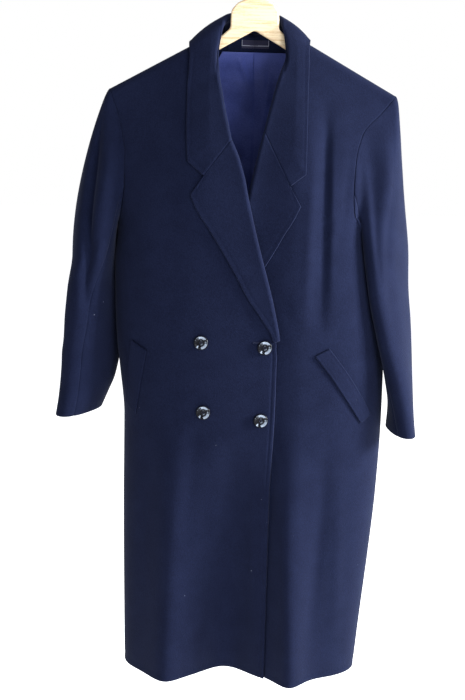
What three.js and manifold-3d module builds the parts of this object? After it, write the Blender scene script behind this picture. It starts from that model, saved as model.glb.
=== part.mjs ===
// Long double-breasted wool overcoat on a plain wooden hanger.
// Millimetres, +Z up, +X to the viewer's right, the coat faces -Y.
// The origin is the underside of the hook's crown, where the hanger hangs.
// Left and right in names are the wearer's, so the right front shows on the viewer's left.
import * as THREE from 'three';
import * as BufferGeometryUtils from 'three/addons/utils/BufferGeometryUtils.js';
import Module from 'manifold-3d';

const wasm = await Module();
wasm.setup();

// Driving dimensions
const WOOL = 2.6;
const EDGE_WOOL = 5;
const LEAF_GAP = 1.2;
const SEAM_GAP = 0.3;
const HALF_GAP = SEAM_GAP / 2;
const HEM_Z = -1360;
const ARMPIT_Z = -480;
const NECK_X = 78;
const NECK_Z = -131;
const SHOULDER_SLOPE = 0.545;
const SHOULDER_TIP_X = 262;
const SHOULDER_ROUND = 14;
const FRONT_REACH = 300;
const BACK_REACH = 140;
const FRONT_POWER = 2.5;
const BACK_POWER = 3;
const UNDERLAP = 13.3;
const ROLL_RADIUS = 5;
const ROLL_SOFT_LENGTH = 14;
const FACING_STRIP = 22;
const NECK_BULGE = 4;
const NECK_EASE = 2;
const STEEPEST_TILT = 2.2;
const LEAF_SPREAD = 1.2;
// The lapel meets its front this far inside the roll line
const ROLL_INSET = 1.5;
// Width at the front edge that has the facing's full thickness, and where it has gone
const FACING_FULL = 20;
const FACING_GONE = 70;
// How far a sleeve leaves the armhole before it turns down, at the shoulder and the armpit
const CAP_LEAVE = { shoulder: 55, armpit: 12 };
const CAP_ARRIVE = 0.9;

const BUTTON = { radius: 13.5, thickness: 4.4, rim: 2.6, dish: 1.2, hole: 1.3, pitch: 3.6 };
const HANGER = { thickness: 13, bevel: 3, tip: 236, seat: 5.2, foot: -122, footSlope: 0.56, crown: -64 };
const HOOK = { wire: 4, radius: 20, stem: -72, bend: -44 };

// Half widths and depths of the body at a height: the side seams' x, the seams' y,
// and how far the front and the back stand off the seam plane
const BODY = [
  { z: -88, left: 275, right: 278, seamY: 0, front: 70, back: 74 },
  { z: -240, left: 272, right: 276, seamY: 0, front: 82, back: 74 },
  { z: -350, left: 252, right: 268, seamY: 4, front: 95, back: 72 },
  { z: -420, left: 232, right: 256, seamY: 8, front: 101, back: 70 },
  { z: -480, left: 215, right: 243, seamY: 10, front: 104, back: 70 },
  { z: -540, left: 219, right: 243, seamY: 11, front: 107, back: 71 },
  { z: -620, left: 231, right: 240, seamY: 12, front: 110, back: 73 },
  { z: -700, left: 250, right: 238, seamY: 12, front: 112, back: 75 },
  { z: -752, left: 261, right: 236, seamY: 12, front: 113, back: 76 },
  { z: -850, left: 268, right: 231, seamY: 13, front: 113, back: 79 },
  { z: -980, left: 265, right: 231, seamY: 14, front: 110, back: 82 },
  { z: -1110, left: 257, right: 230, seamY: 15, front: 106, back: 84 },
  { z: -1250, left: 246, right: 228, seamY: 16, front: 102, back: 86 },
  { z: -1360, left: 238, right: 226, seamY: 16, front: 100, back: 88 },
];

// Distance from the centre to the armhole seam, front and back, at a height
const ARMHOLE = [
  { z: -232, rightFront: 262, leftFront: 262, rightBack: 262, leftBack: 262 },
  { z: -263, rightFront: 250, leftFront: 236, rightBack: 250, leftBack: 250 },
  { z: -300, rightFront: 239, leftFront: 203, rightBack: 241, leftBack: 240 },
  { z: -350, rightFront: 231, leftFront: 191, rightBack: 233, leftBack: 232 },
  { z: -400, rightFront: 231, leftFront: 189, rightBack: 230, leftBack: 226 },
  { z: -445, rightFront: 236, leftFront: 192, rightBack: 234, leftBack: 218 },
  { z: -468, rightFront: 241, leftFront: 204, rightBack: 240, leftBack: 215 },
  { z: -480, rightFront: 243, leftFront: 215, rightBack: 243, leftBack: 215 },
];

// Largest folds: x and z at the top and bottom end, half width, and how far each end
// stands out (+) or in (-); a fold that ends above the hem fades out there
const FOLDS = [
  { face: 'front', x0: 136, z0: -225, x1: 133, z1: -690, width: 17, out0: -8, out1: -6 },
  { face: 'front', x0: -130, z0: -760, x1: -148, z1: -1500, width: 38, out0: 0, out1: 44 },
  { face: 'front', x0: -16, z0: -820, x1: -24, z1: -1500, width: 58, out0: 0, out1: -72 },
  { face: 'front', x0: 92, z0: -760, x1: 108, z1: -1500, width: 33, out0: 0, out1: 46 },
  { face: 'back', x0: -120, z0: -620, x1: -135, z1: -1500, width: 42, out0: 0, out1: 26 },
  { face: 'back', x0: -20, z0: -700, x1: -26, z1: -1500, width: 46, out0: 0, out1: -24 },
  { face: 'back', x0: 90, z0: -600, x1: 104, z1: -1500, width: 44, out0: 0, out1: 28 },
];

// Where each front folds back into its lapel and collar, and its straight edge below
const ROLL_RIGHT = [
  { z: -131, x: -78 }, { z: -161, x: -73 }, { z: -192, x: -68 }, { z: -228, x: -62 },
  { z: -269, x: -53 }, { z: -319, x: -40 }, { z: -365, x: -21 }, { z: -426, x: -7 },
  { z: -505, x: 13 }, { z: -571, x: 32 }, { z: -625, x: 46 }, { z: -688, x: 57 },
  { z: -835, x: 56 }, { z: -980, x: 52 }, { z: -1360, x: 52 },
];
const ROLL_LEFT = [
  { z: -131, x: 78 }, { z: -161, x: 73 }, { z: -188, x: 61 }, { z: -228, x: 44 },
  { z: -269, x: 33 }, { z: -304, x: 25 }, { z: -366, x: 12 }, { z: -432, x: -1 },
  { z: -540, x: -30 }, { z: -620, x: -64 }, { z: -690, x: -103 }, { z: -1360, x: -103 },
];

// Lapels, from the gorge down to the break: height on the roll line and the outline point
const LAPEL_RIGHT = [
  { roll: -320, x: -84, z: -380 }, { roll: -352, x: -95, z: -397 }, { roll: -385, x: -107, z: -415 },
  { roll: -420, x: -94, z: -443 }, { roll: -451, x: -75, z: -471 }, { roll: -492, x: -51, z: -508 },
  { roll: -538, x: -25, z: -551 }, { roll: -594, x: 4, z: -603 }, { roll: -623, x: 23, z: -629 },
  { roll: -644, x: 36, z: -648 }, { roll: -662, x: 46, z: -664 }, { roll: -677, x: 51, z: -678 },
];
const LAPEL_LEFT = [
  { roll: -305, x: 71, z: -395 }, { roll: -360, x: 81, z: -413 }, { roll: -413, x: 91, z: -431 },
  { roll: -442, x: 77, z: -460 }, { roll: -468, x: 63, z: -483 }, { roll: -492, x: 51, z: -506 },
  { roll: -530, x: 28, z: -545 }, { roll: -578, x: -10, z: -595 }, { roll: -632, x: -56, z: -645 },
  { roll: -672, x: -86, z: -679 },
];

// Collar where it lies on the fronts, from the gorge up: the roll, the outer edge of the
// fall and how far the cloth goes back inside the roll
const COLLAR_RIGHT = [
  { rx: -40, rz: -317, ex: -86, ez: -376.5, strip: 20 },
  { rx: -46, rz: -297, ex: -114, ez: -355, strip: 20 },
  { rx: -54, rz: -264, ex: -117, ez: -312, strip: 18 },
  { rx: -61, rz: -231, ex: -118, ez: -268, strip: 15 },
  { rx: -67, rz: -200, ex: -118, ez: -226, strip: 11 },
];
const COLLAR_LEFT = [
  { rx: 26, rz: -302, ex: 72, ez: -391.5, strip: 20 },
  { rx: 31, rz: -280, ex: 99, ez: -373, strip: 20 },
  { rx: 38, rz: -253, ex: 99, ez: -326, strip: 18 },
  { rx: 45, rz: -226, ex: 99, ez: -278, strip: 15 },
  { rx: 54, rz: -197, ex: 99, ez: -230, strip: 11 },
];
// Collar round the neck, the same for both halves: the roll, the outer edge of the fall
// and the foot of the stand, x as a distance from the centre
const COLLAR_NECK = [
  { rx: 70, ry: -20, rz: -166, ex: 117, ey: -28, ez: -188, bx: 74, by: -13.5, bz: -158 },
  { rx: 66, ry: -14, rz: -134, ex: 117, ey: -23, ez: -167, bx: 77, by: -9.5, bz: -131 },
  { rx: 61, ry: -7, rz: -118, ex: 117, ey: -12, ez: -152.5, bx: 77.5, by: -4, bz: -129 },
  { rx: 56, ry: 4, rz: -106, ex: 116, ey: 1, ez: -148.2, bx: 76.5, by: 4, bz: -129 },
  { rx: 46, ry: 22, rz: -98, ex: 106, ey: 30, ez: -150, bx: 64, by: 24, bz: -127 },
  { rx: 28, ry: 36, rz: -94.5, ex: 66, ey: 58, ez: -152, bx: 36, by: 38, bz: -126 },
];
const COLLAR_CENTRE = { rx: 0, ry: 42, rz: -93, ex: 0, ey: 67, ez: -153, bx: 0, by: 43, bz: -125.5 };

// Sleeve sections below the armhole: centre, half thickness, half breadth, and the turn
// of the breadth about the vertical (+ brings the front end towards the body)
const SLEEVE_RIGHT = [
  { z: -540, x: -290, y: 0, half: 40, breadth: 72, turn: -3 },
  { z: -600, x: -290, y: -3, half: 38, breadth: 72, turn: -22 },
  { z: -666, x: -292, y: -6, half: 36, breadth: 71, turn: -31 },
  { z: -730, x: -294, y: -10, half: 33, breadth: 69, turn: -38 },
  { z: -775, x: -299, y: -15, half: 31, breadth: 67, turn: -36 },
  { z: -808, x: -307, y: -20, half: 29, breadth: 65, turn: -31 },
  { z: -836, x: -315, y: -24, half: 27, breadth: 63, turn: -28 },
];
const SLEEVE_LEFT = [
  { z: -540, x: 263, y: 0, half: 28, breadth: 72, turn: 31 },
  { z: -600, x: 270, y: -2, half: 26, breadth: 71, turn: 29 },
  { z: -650, x: 280, y: -4, half: 25, breadth: 69, turn: 25 },
  { z: -706, x: 290, y: -7, half: 24, breadth: 67, turn: 18 },
  { z: -760, x: 298, y: -10, half: 24, breadth: 65, turn: 8 },
  { z: -815, x: 303, y: -13, half: 23, breadth: 63, turn: 0 },
  { z: -862, x: 304, y: -16, half: 23, breadth: 62, turn: -8 },
];
const SLEEVE_POWER = 2.3;

// The left fall is narrower than the right one, by this share; the roll narrows less, and
// the fall's edge rises by this much for a whole share
const COLLAR_LEFT_SHARE = 0.86;
const COLLAR_ROLL_SHARE = 0.35;
const COLLAR_LEFT_RISE = 60;
// The fronts are straight below this height, and fold back as lapels above it
const ROLL_END_Z = -688;
// How far below that the straight edge starts, and its facing starts and is full
const EDGE_STARTS = 40;
const FACING_STARTS = 50;
const FACING_IS_FULL = 120;
const BUTTON_SEAT = 0.7;
// Inside the back: the wool facing at the neck, the satin lining below it, the bare label
const FACING = { reach: 50, hem: -156, rows: 3, columns: 10, depth: WOOL + 0.9, thickness: 1.6 };
const LINING = {
  top: 60, bottom: 150, hem: -640, rows: 12, columns: 12, depth: WOOL + 2.9, thickness: 1,
};
const LABEL_AT = { left: -24, right: 29, top: -135, foot: -149.5, thickness: 0.8 };

// Pocket welts, by the distance round from the side seam (round) and the height (z)
const WELT = {
  right: { topInner: 114, topOuter: 83, bottomInner: 76, bottomOuter: 48, top: -691, drop: 125, tilt: 16 },
  left: { topInner: 187, topOuter: 159, bottomInner: 96, bottomOuter: 72, top: -692, drop: 131, tilt: 13 },
};
const WELT_SEAT = 0.94;
const WELT_STEPS = 9;

const BUTTON_PLACES = [
  { name: 'button_upper_right', x: -82, z: -684 },
  { name: 'button_upper_left', x: 35, z: -690 },
  { name: 'button_lower_right', x: -75, z: -816 },
  { name: 'button_lower_left', x: 32, z: -828 },
];

// How far down the yoke zone each row of a panel lies, 0 at the shoulder, 1 at the armpit
const YOKE_ROWS = [0, 0.008, 0.035, 0.09, 0.17, 0.28, 0.4, 0.52, 0.64, 0.76, 0.88, 1];
const SKIRT_ROWS = 14;
const SLEEVE_CAP_ROWS = [0, 0.06, 0.16, 0.3, 0.46, 0.64, 0.82, 1];
// Columns of the sleeve's under piece, counted from the shoulder down the front
const UNDER_SLEEVE = { from: 9, to: 16 };
const ROLL_STEPS = 5;
const LEAF_STEPS = 5;
const BUTTON_SIDES = 20;
const HOLE_SIDES = 6;
const FRONT_COLUMNS = 16;
const BACK_COLUMNS = 24;
// Rounds in which the end of a row settles on its edge
const SETTLE = 24;

// Colours
const NAVY = new THREE.MeshStandardMaterial({ color: 0x1d2340, roughness: 0.95, metalness: 0 });
const SATIN = new THREE.MeshStandardMaterial({ color: 0x2b2f66, roughness: 0.45, metalness: 0 });
const LABEL = new THREE.MeshStandardMaterial({ color: 0x23253a, roughness: 0.7, metalness: 0 });
const HORN = new THREE.MeshStandardMaterial({ color: 0x0b0c10, roughness: 0.2, metalness: 0 });
const WOOD = new THREE.MeshStandardMaterial({ color: 0xe6d3ae, roughness: 0.5, metalness: 0 });
const WIRE = new THREE.MeshStandardMaterial({ color: 0xc8c8c8, roughness: 0.25, metalness: 1 });

// Small tools
const vec = (x, y, z) => new THREE.Vector3(x, y, z);
const mix = (a, b, t) => a + (b - a) * t;
const clamp = (v, lo, hi) => Math.min(hi, Math.max(lo, v));

function smoothstep(lo, hi, v) {
  const t = clamp((v - lo) / (hi - lo), 0, 1);
  return t * t * (3 - 2 * t);
}

// A smooth value down a table: no overshoot between rows, level beyond its ends
function column(table, key, name) {
  const rows = [...table].sort((a, b) => a[key] - b[key]);
  const xs = rows.map((r) => r[key]);
  const ys = rows.map((r) => r[name]);
  const secant = (i) => (ys[i + 1] - ys[i]) / (xs[i + 1] - xs[i]);
  const slope = xs.map((_, i) => {
    if (i === 0) return secant(0);
    if (i === xs.length - 1) return secant(i - 1);
    const a = secant(i - 1);
    const b = secant(i);
    return a * b <= 0 ? 0 : (2 * a * b) / (a + b);
  });
  return (x) => {
    if (x <= xs[0]) return ys[0];
    if (x >= xs[xs.length - 1]) return ys[ys.length - 1];
    let i = 0;
    while (x > xs[i + 1]) i += 1;
    const h = xs[i + 1] - xs[i];
    const t = (x - xs[i]) / h;
    const t2 = t * t;
    const t3 = t2 * t;
    return (2 * t3 - 3 * t2 + 1) * ys[i] + (t3 - 2 * t2 + t) * h * slope[i]
      + (3 * t2 - 2 * t3) * ys[i + 1] + (t3 - t2) * h * slope[i + 1];
  };
}

const sideOf = { left: column(BODY, 'z', 'left'), right: column(BODY, 'z', 'right') };
const seamY = column(BODY, 'z', 'seamY');
const standOff = { front: column(BODY, 'z', 'front'), back: column(BODY, 'z', 'back') };
const armhole = {
  rightFront: column(ARMHOLE, 'z', 'rightFront'), leftFront: column(ARMHOLE, 'z', 'leftFront'),
  rightBack: column(ARMHOLE, 'z', 'rightBack'), leftBack: column(ARMHOLE, 'z', 'leftBack'),
};
const rollX = { right: column(ROLL_RIGHT, 'z', 'x'), left: column(ROLL_LEFT, 'z', 'x') };

// Ridge of the shoulders; between the neck points the front and back ridges differ
function shoulderZ(x, face) {
  const away = Math.abs(x) - NECK_X;
  return face === 'front' ? NECK_Z - SHOULDER_SLOPE * Math.max(0, away) : NECK_Z - SHOULDER_SLOPE * away;
}

function foldOut(face, x, z) {
  let out = 0;
  for (const fold of FOLDS.filter((f) => f.face === face)) {
    const t = (fold.z0 - z) / (fold.z0 - fold.z1);
    if (t > 0 && t < 1) {
      const across = (x - mix(fold.x0, fold.x1, t)) / fold.width;
      const fade = smoothstep(0, 0.25, t) * smoothstep(0, 0.2, 1 - t);
      out += mix(fold.out0, fold.out1, t) * fade * Math.exp(-across * across);
    }
  }
  return out;
}

// Outer surface of the body, front or back, over a point of the XZ plane
function bodyPoint(face, x, z) {
  const side = x < 0 ? sideOf.right(z) : sideOf.left(z);
  const power = face === 'front' ? FRONT_POWER : BACK_POWER;
  const reach = face === 'front' ? FRONT_REACH : BACK_REACH;
  const rest = 1 - Math.pow(Math.min(1, Math.abs(x) / side), power);
  const round = Math.pow(Math.max(0, rest), 1 / power);
  const drop = Math.max(0, shoulderZ(x, face) - z);
  const yoke = smoothstep(ARMPIT_Z, ARMPIT_Z + 90, z);
  const radius = SHOULDER_ROUND * mix(round, 1, yoke);
  const near = Math.min(drop / SHOULDER_ROUND, 1);
  const crest = radius * Math.sqrt(near * (2 - near));
  const fall = Math.sin((Math.PI / 2) * Math.min(1, drop / reach));
  const off = crest + (standOff[face](z) * round - radius) * fall + foldOut(face, x, z) * round;
  return vec(x, seamY(z) + (face === 'front' ? -off : off), z);
}

const rightFrontPoint = (x, z) => bodyPoint('front', x, z);

// The left front lies under the right one, deeper where the two lap
function leftFrontPoint(x, z) {
  const point = bodyPoint('front', x, z);
  point.y += UNDERLAP * (1 - smoothstep(5, 110, x)) * smoothstep(150, 330, -z);
  return point;
}

// A line of n + 1 points at even steps along a curve given over 0 to 1
function evenly(curve, n) {
  const FINE = 96;
  const points = [];
  for (let i = 0; i <= FINE; i += 1) points.push(curve(i / FINE));
  const length = [0];
  for (let i = 1; i <= FINE; i += 1) length.push(length[i - 1] + points[i].distanceTo(points[i - 1]));
  const line = [];
  let i = 0;
  for (let k = 0; k <= n; k += 1) {
    const want = (length[FINE] * k) / n;
    while (i < FINE - 1 && length[i + 1] < want) i += 1;
    const t = clamp((want - length[i]) / (length[i + 1] - length[i]), 0, 1);
    line.push(curve((i + t) / FINE));
  }
  return line;
}

// Normals of a grid of points
function gridNormals(grid) {
  return grid.map((row, r) => row.map((_, c) => {
    const down = grid[Math.min(r + 1, grid.length - 1)][c].clone().sub(grid[Math.max(r - 1, 0)][c]);
    const along = row[Math.min(c + 1, row.length - 1)].clone().sub(row[Math.max(c - 1, 0)]);
    return down.cross(along).normalize();
  }));
}

function moved(grid, normals, distance) {
  return grid.map((row, r) => row.map((p, c) => {
    const d = typeof distance === 'function' ? distance(p) : distance;
    return p.clone().addScaledVector(normals[r][c], d);
  }));
}

// A closed wall between two grids of points with the same rows and columns
function wall(outer, inner) {
  const rows = outer.length;
  const cols = outer[0].length;
  const positions = [];
  for (const grid of [outer, inner]) {
    for (const row of grid) row.forEach((p) => positions.push(p.x, p.y, p.z));
  }
  const at = (layer, r, c) => layer * rows * cols + r * cols + c;
  const index = [];
  const quad = (a, b, c, d) => index.push(a, b, c, a, c, d);
  for (let r = 0; r < rows - 1; r += 1) {
    for (let c = 0; c < cols - 1; c += 1) {
      quad(at(0, r, c), at(0, r + 1, c), at(0, r + 1, c + 1), at(0, r, c + 1));
      quad(at(1, r, c), at(1, r, c + 1), at(1, r + 1, c + 1), at(1, r + 1, c));
    }
  }
  for (let r = 0; r < rows - 1; r += 1) {
    quad(at(0, r, 0), at(1, r, 0), at(1, r + 1, 0), at(0, r + 1, 0));
    quad(at(0, r, cols - 1), at(0, r + 1, cols - 1), at(1, r + 1, cols - 1), at(1, r, cols - 1));
  }
  for (let c = 0; c < cols - 1; c += 1) {
    quad(at(0, 0, c), at(0, 0, c + 1), at(1, 0, c + 1), at(1, 0, c));
    quad(at(0, rows - 1, c), at(1, rows - 1, c), at(1, rows - 1, c + 1), at(0, rows - 1, c + 1));
  }
  return facingOut(positions, index);
}

function facingOut(positions, index) {
  let volume = 0;
  const corner = (i) => vec(positions[3 * i], positions[3 * i + 1], positions[3 * i + 2]);
  for (let i = 0; i < index.length; i += 3) {
    volume += corner(index[i]).dot(corner(index[i + 1]).cross(corner(index[i + 2])));
  }
  if (volume < 0) {
    for (let i = 0; i < index.length; i += 3) {
      [index[i + 1], index[i + 2]] = [index[i + 2], index[i + 1]];
    }
  }
  const geometry = new THREE.BufferGeometry();
  geometry.setAttribute('position', new THREE.Float32BufferAttribute(positions, 3));
  geometry.setIndex(index);
  return geometry;
}

// Heights of the rows of a body panel: share of the yoke zone, or a height below it
function panelRows() {
  const rows = YOKE_ROWS.map((yoke) => ({ yoke }));
  for (let k = 1; k <= SKIRT_ROWS; k += 1) rows.push({ z: mix(ARMPIT_Z, HEM_Z, k / SKIRT_ROWS) });
  return rows;
}

const rowZ = (row, x, face) => ('z' in row ? row.z : mix(shoulderTop(x, face), ARMPIT_Z, row.yoke));

function shoulderTop(x, face) {
  return Math.abs(x) < NECK_X && face === 'back' ? NECK_Z + 3 : shoulderZ(x, face);
}

// Where a row ends at the armhole or side seam
function outerEnd(row, wearer, face) {
  const sign = wearer === 'right' ? -1 : 1;
  const hole = armhole[wearer + (face === 'front' ? 'Front' : 'Back')];
  let x = sign * SHOULDER_TIP_X;
  for (let i = 0; i < SETTLE; i += 1) {
    const z = rowZ(row, x, face);
    x = sign * (z > ARMPIT_Z ? hole(z) : sideOf[wearer](z));
  }
  return x;
}

function innerEnd(row, wearer) {
  let x = wearer === 'right' ? -NECK_X : NECK_X;
  for (let i = 0; i < SETTLE; i += 1) x = rollX[wearer](rowZ(row, x, 'front'));
  const belowRoll = rowZ(row, x, 'front') < ROLL_END_Z - EDGE_STARTS;
  return belowRoll ? x : x + (wearer === 'right' ? -ROLL_INSET : ROLL_INSET);
}

// Seam edges lie in the plane of their seam, with half the gap on each side
function frontPanel(wearer) {
  const pointAt = wearer === 'right' ? rightFrontPoint : leftFrontPoint;
  const grid = panelRows().map((row) => {
    const from = innerEnd(row, wearer);
    const to = outerEnd(row, wearer, 'front');
    return evenly((t) => {
      const x = mix(from, to, t);
      return pointAt(x, rowZ(row, x, 'front'));
    }, FRONT_COLUMNS);
  });
  return seamed(grid, 'front', wearer);
}

function backPanel() {
  const grid = panelRows().map((row) => {
    const from = outerEnd(row, 'right', 'back');
    const to = outerEnd(row, 'left', 'back');
    return evenly((t) => {
      const x = mix(from, to, t);
      return bodyPoint('back', x, rowZ(row, x, 'back'));
    }, BACK_COLUMNS);
  });
  return seamed(grid, 'back', 'both');
}

function seamed(grid, face, wearer) {
  const inward = face === 'front' ? -HALF_GAP : HALF_GAP;
  const normals = gridNormals(grid);
  const outwardY = face === 'front' ? -1 : 1;
  const middle = normals[grid.length - 2][Math.floor(grid[0].length / 2)];
  if (middle.y * outwardY < 0) normals.forEach((row) => row.forEach((n) => n.negate()));
  const last = grid[0].length - 1;
  grid.forEach((row, r) => {
    const sides = wearer === 'both' ? [0, last] : [last];
    row.forEach((p, c) => {
      const onShoulder = r === 0 && Math.abs(p.x) > NECK_X - 2;
      const onSide = r >= YOKE_ROWS.length - 1 && sides.includes(c);
      if (onShoulder || onSide) {
        p.y += inward;
        normals[r][c].y = 0;
        normals[r][c].normalize();
      }
    });
  });
  return { grid, normals };
}

// Wool is one layer in the panel and two where the facing is sewn in at the front edge
function frontThickness(wearer) {
  return (p) => {
    const away = Math.abs(p.x - rollX[wearer](p.z));
    const low = smoothstep(ROLL_END_Z - FACING_STARTS, ROLL_END_Z - FACING_IS_FULL, p.z);
    return -mix(WOOL, EDGE_WOOL, low * (1 - smoothstep(FACING_FULL, FACING_GONE, away)));
  };
}

// Sleeve: starts against the armhole edge of the panels and turns into the hanging tube
function sleeveSection(row, sign, share) {
  const angle = share * Math.PI * 2;
  const c = Math.cos(angle);
  const s = Math.sin(angle);
  const turn = THREE.MathUtils.degToRad(row.turn);
  const out = row.half * Math.sign(c) * Math.pow(Math.abs(c), 2 / SLEEVE_POWER);
  const fore = row.breadth * Math.sign(s) * Math.pow(Math.abs(s), 2 / SLEEVE_POWER);
  return vec(
    row.x + sign * (out * Math.cos(turn) - fore * Math.sin(turn)),
    row.y - out * Math.sin(turn) - fore * Math.cos(turn),
    row.z,
  );
}

// The armhole edge of one panel from the shoulder to the armpit
function armholeEdge(panel, c, inside) {
  return YOKE_ROWS.map((yoke, r) => {
    const point = panel.grid[r][c];
    const across = point.clone().sub(panel.grid[r][inside]).normalize();
    const normal = panel.normals[r][c];
    const lean = (Math.PI / 2) * smoothstep(0.5, 1, yoke);
    const up = panel.grid[Math.max(r - 1, 0)][c].clone().sub(panel.grid[r + 1][c]).normalize();
    const off = across.multiplyScalar(Math.cos(lean)).addScaledVector(normal, Math.sin(lean)).normalize();
    const inner = normal.clone().multiplyScalar(-Math.cos(lean)).addScaledVector(up, Math.sin(lean));
    inner.addScaledVector(off, -inner.dot(off)).normalize();
    return { point, off, inner };
  });
}

function sleeveGrid(wearer, front, back) {
  const sign = wearer === 'right' ? -1 : 1;
  const table = wearer === 'right' ? SLEEVE_RIGHT : SLEEVE_LEFT;
  const last = YOKE_ROWS.length - 1;
  const backColumn = wearer === 'right' ? 0 : BACK_COLUMNS;
  const backInside = wearer === 'right' ? 1 : BACK_COLUMNS - 1;
  const fore = armholeEdge(front, FRONT_COLUMNS, FRONT_COLUMNS - 1);
  const aft = armholeEdge(back, backColumn, backInside);
  const loop = [...fore, ...aft.slice(0, last).reverse()];
  const lengthAt = [0];
  for (let i = 1; i < loop.length; i += 1) {
    lengthAt.push(lengthAt[i - 1] + loop[i].point.distanceTo(loop[i - 1].point));
  }
  const whole = lengthAt[loop.length - 1];
  return loop.map((start, i) => {
    const even = i / (loop.length - 1);
    const share = mix(even, lengthAt[i] / whole, 0.5);
    const begin = start.point.clone().addScaledVector(start.off, SEAM_GAP);
    const first = sleeveSection(table[0], sign, share);
    const second = sleeveSection(table[1], sign, share);
    const low = 1 - Math.abs(1 - 2 * even);
    const leave = start.off.clone()
      .multiplyScalar(mix(CAP_LEAVE.shoulder, CAP_LEAVE.armpit, smoothstep(0.5, 1, low)));
    const arrive = second.clone().sub(first).normalize()
      .multiplyScalar(begin.distanceTo(first) * CAP_ARRIVE);
    const upper = SLEEVE_CAP_ROWS.map((t) => {
      const t2 = t * t;
      const t3 = t2 * t;
      return begin.clone().multiplyScalar(2 * t3 - 3 * t2 + 1).addScaledVector(leave, t3 - 2 * t2 + t)
        .addScaledVector(first, 3 * t2 - 2 * t3).addScaledVector(arrive, t3 - t2);
    });
    return { start, points: [...upper, ...table.slice(1).map((row) => sleeveSection(row, sign, share))] };
  });
}

// One piece of a sleeve: a run of its columns, drawn in by half a gap at its two seams
function sleevePiece(columns, run) {
  const rows = columns[0].points.length;
  const grid = [];
  for (let r = 0; r < rows; r += 1) grid.push(run.map((i) => columns[i].points[r].clone()));
  const normals = gridNormals(grid);
  const n = run.length - 1;
  const low = rows - 4;
  const middle = Math.floor(n / 2);
  const ring = columns.slice(1).map((col) => col.points[low]);
  const centre = ring.reduce((sum, p) => sum.add(p), vec(0, 0, 0)).divideScalar(ring.length);
  if (normals[low][middle].dot(grid[low][middle].clone().sub(centre)) < 0) {
    normals.forEach((row) => row.forEach((v) => v.negate()));
  }
  const ends = [[0, 1], [n, n - 1]];
  ends.forEach(([c, next]) => {
    const i = run[c];
    const count = columns.length - 1;
    for (let r = 0; r < rows; r += 1) {
      const before = columns[(i + count - 1) % count].points[r];
      const after = columns[(i + 1) % count].points[r];
      const down = columns[i].points[Math.min(r + 1, rows - 1)].clone()
        .sub(columns[i].points[Math.max(r - 1, 0)]);
      const normal = down.cross(after.clone().sub(before)).normalize();
      if (normal.dot(normals[r][next]) < 0) normal.negate();
      normals[r][c] = normal;
    }
  });
  const inner = moved(grid, normals, -WOOL);
  inner[0] = run.map((i, c) => grid[0][c].clone().addScaledVector(columns[i].start.inner, WOOL));
  for (const [c, next] of ends) {
    for (let r = 0; r < rows; r += 1) {
      for (const layer of [grid, inner]) {
        const step = layer[r][next].clone().sub(layer[r][c]).normalize();
        layer[r][c].addScaledVector(step, HALF_GAP);
      }
    }
  }
  return wall(grid, inner);
}

// Lapels and collar: a leaf on the panel, a round roll and a strip or stand inside it
function rollOver(steps) {
  return Array.from({ length: steps + 1 }, (_, i) => -Math.PI / 2 + (Math.PI * i) / steps);
}

const LEAF_REST = WOOL / 2 + LEAF_GAP;
const leafHeight = (q) => LEAF_REST + (ROLL_RADIUS - LEAF_REST) * Math.exp(-q / ROLL_SOFT_LENGTH);

// A point over the shoulders or the neck, moved off the body where it would touch it
function clearOfBody(point) {
  if (point.z > shoulderZ(point.x, 'front') + LEAF_REST) return point;
  if (point.y < 0) {
    const pointAt = point.x < 0 ? rightFrontPoint : leftFrontPoint;
    point.y = Math.min(point.y, pointAt(point.x, point.z).y - LEAF_REST * NECK_EASE);
  } else {
    point.y = Math.max(point.y, bodyPoint('back', point.x, point.z).y + LEAF_REST * NECK_EASE);
  }
  return point;
}

// One row of middle points where the leaf lies on a front panel
function frontFold(pointAt, roll, edge, strip) {
  const along = vec(edge.x - roll.x, 0, edge.z - roll.z);
  const width = along.length();
  along.normalize();
  const at = (q, out) => {
    const x = roll.x + along.x * q;
    const z = roll.z + along.z * q;
    const p = pointAt(x, z);
    const tilt = Math.hypot(1, (pointAt(x, z + 2).y - p.y) / 2, (pointAt(x + 2, z).y - p.y) / 2);
    p.y -= out * Math.min(tilt, STEEPEST_TILT);
    return p;
  };
  const row = [at(Math.min(strip, width), -ROLL_RADIUS), at(Math.min(strip, width) / 2, -ROLL_RADIUS)];
  for (const a of rollOver(ROLL_STEPS)) row.push(at(-ROLL_RADIUS * Math.cos(a), ROLL_RADIUS * Math.sin(a)));
  for (let i = 1; i <= LEAF_STEPS; i += 1) {
    const q = width * Math.pow(i / LEAF_STEPS, LEAF_SPREAD);
    row.push(at(q, leafHeight(q)));
  }
  return row;
}

// One row where the collar goes round the neck, between given points
function neckFold(roll, edge, foot) {
  const along = edge.clone().sub(roll).normalize();
  const rise = foot.clone().sub(roll);
  const off = rise.clone().addScaledVector(along, -rise.dot(along)).normalize().negate();
  const at = (q, o) => roll.clone().addScaledVector(along, q).addScaledVector(off, o);
  const row = [foot.clone(), foot.clone().lerp(at(0, -ROLL_RADIUS), 0.5)];
  for (const a of rollOver(ROLL_STEPS)) row.push(at(-ROLL_RADIUS * Math.cos(a), ROLL_RADIUS * Math.sin(a)));
  const width = edge.distanceTo(roll);
  for (let i = 1; i <= LEAF_STEPS; i += 1) {
    const t = Math.pow(i / LEAF_STEPS, LEAF_SPREAD);
    const out = mix(ROLL_RADIUS, LEAF_REST, smoothstep(0, 1, t)) + NECK_BULGE * Math.sin(Math.PI * t);
    row.push(clearOfBody(at(width * t, out)));
  }
  return row;
}

function lapelGrid(pointAt, wearer, table) {
  return table.map((row) => frontFold(
    pointAt,
    { x: rollX[wearer](row.roll), z: row.roll },
    row,
    FACING_STRIP,
  ));
}

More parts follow.
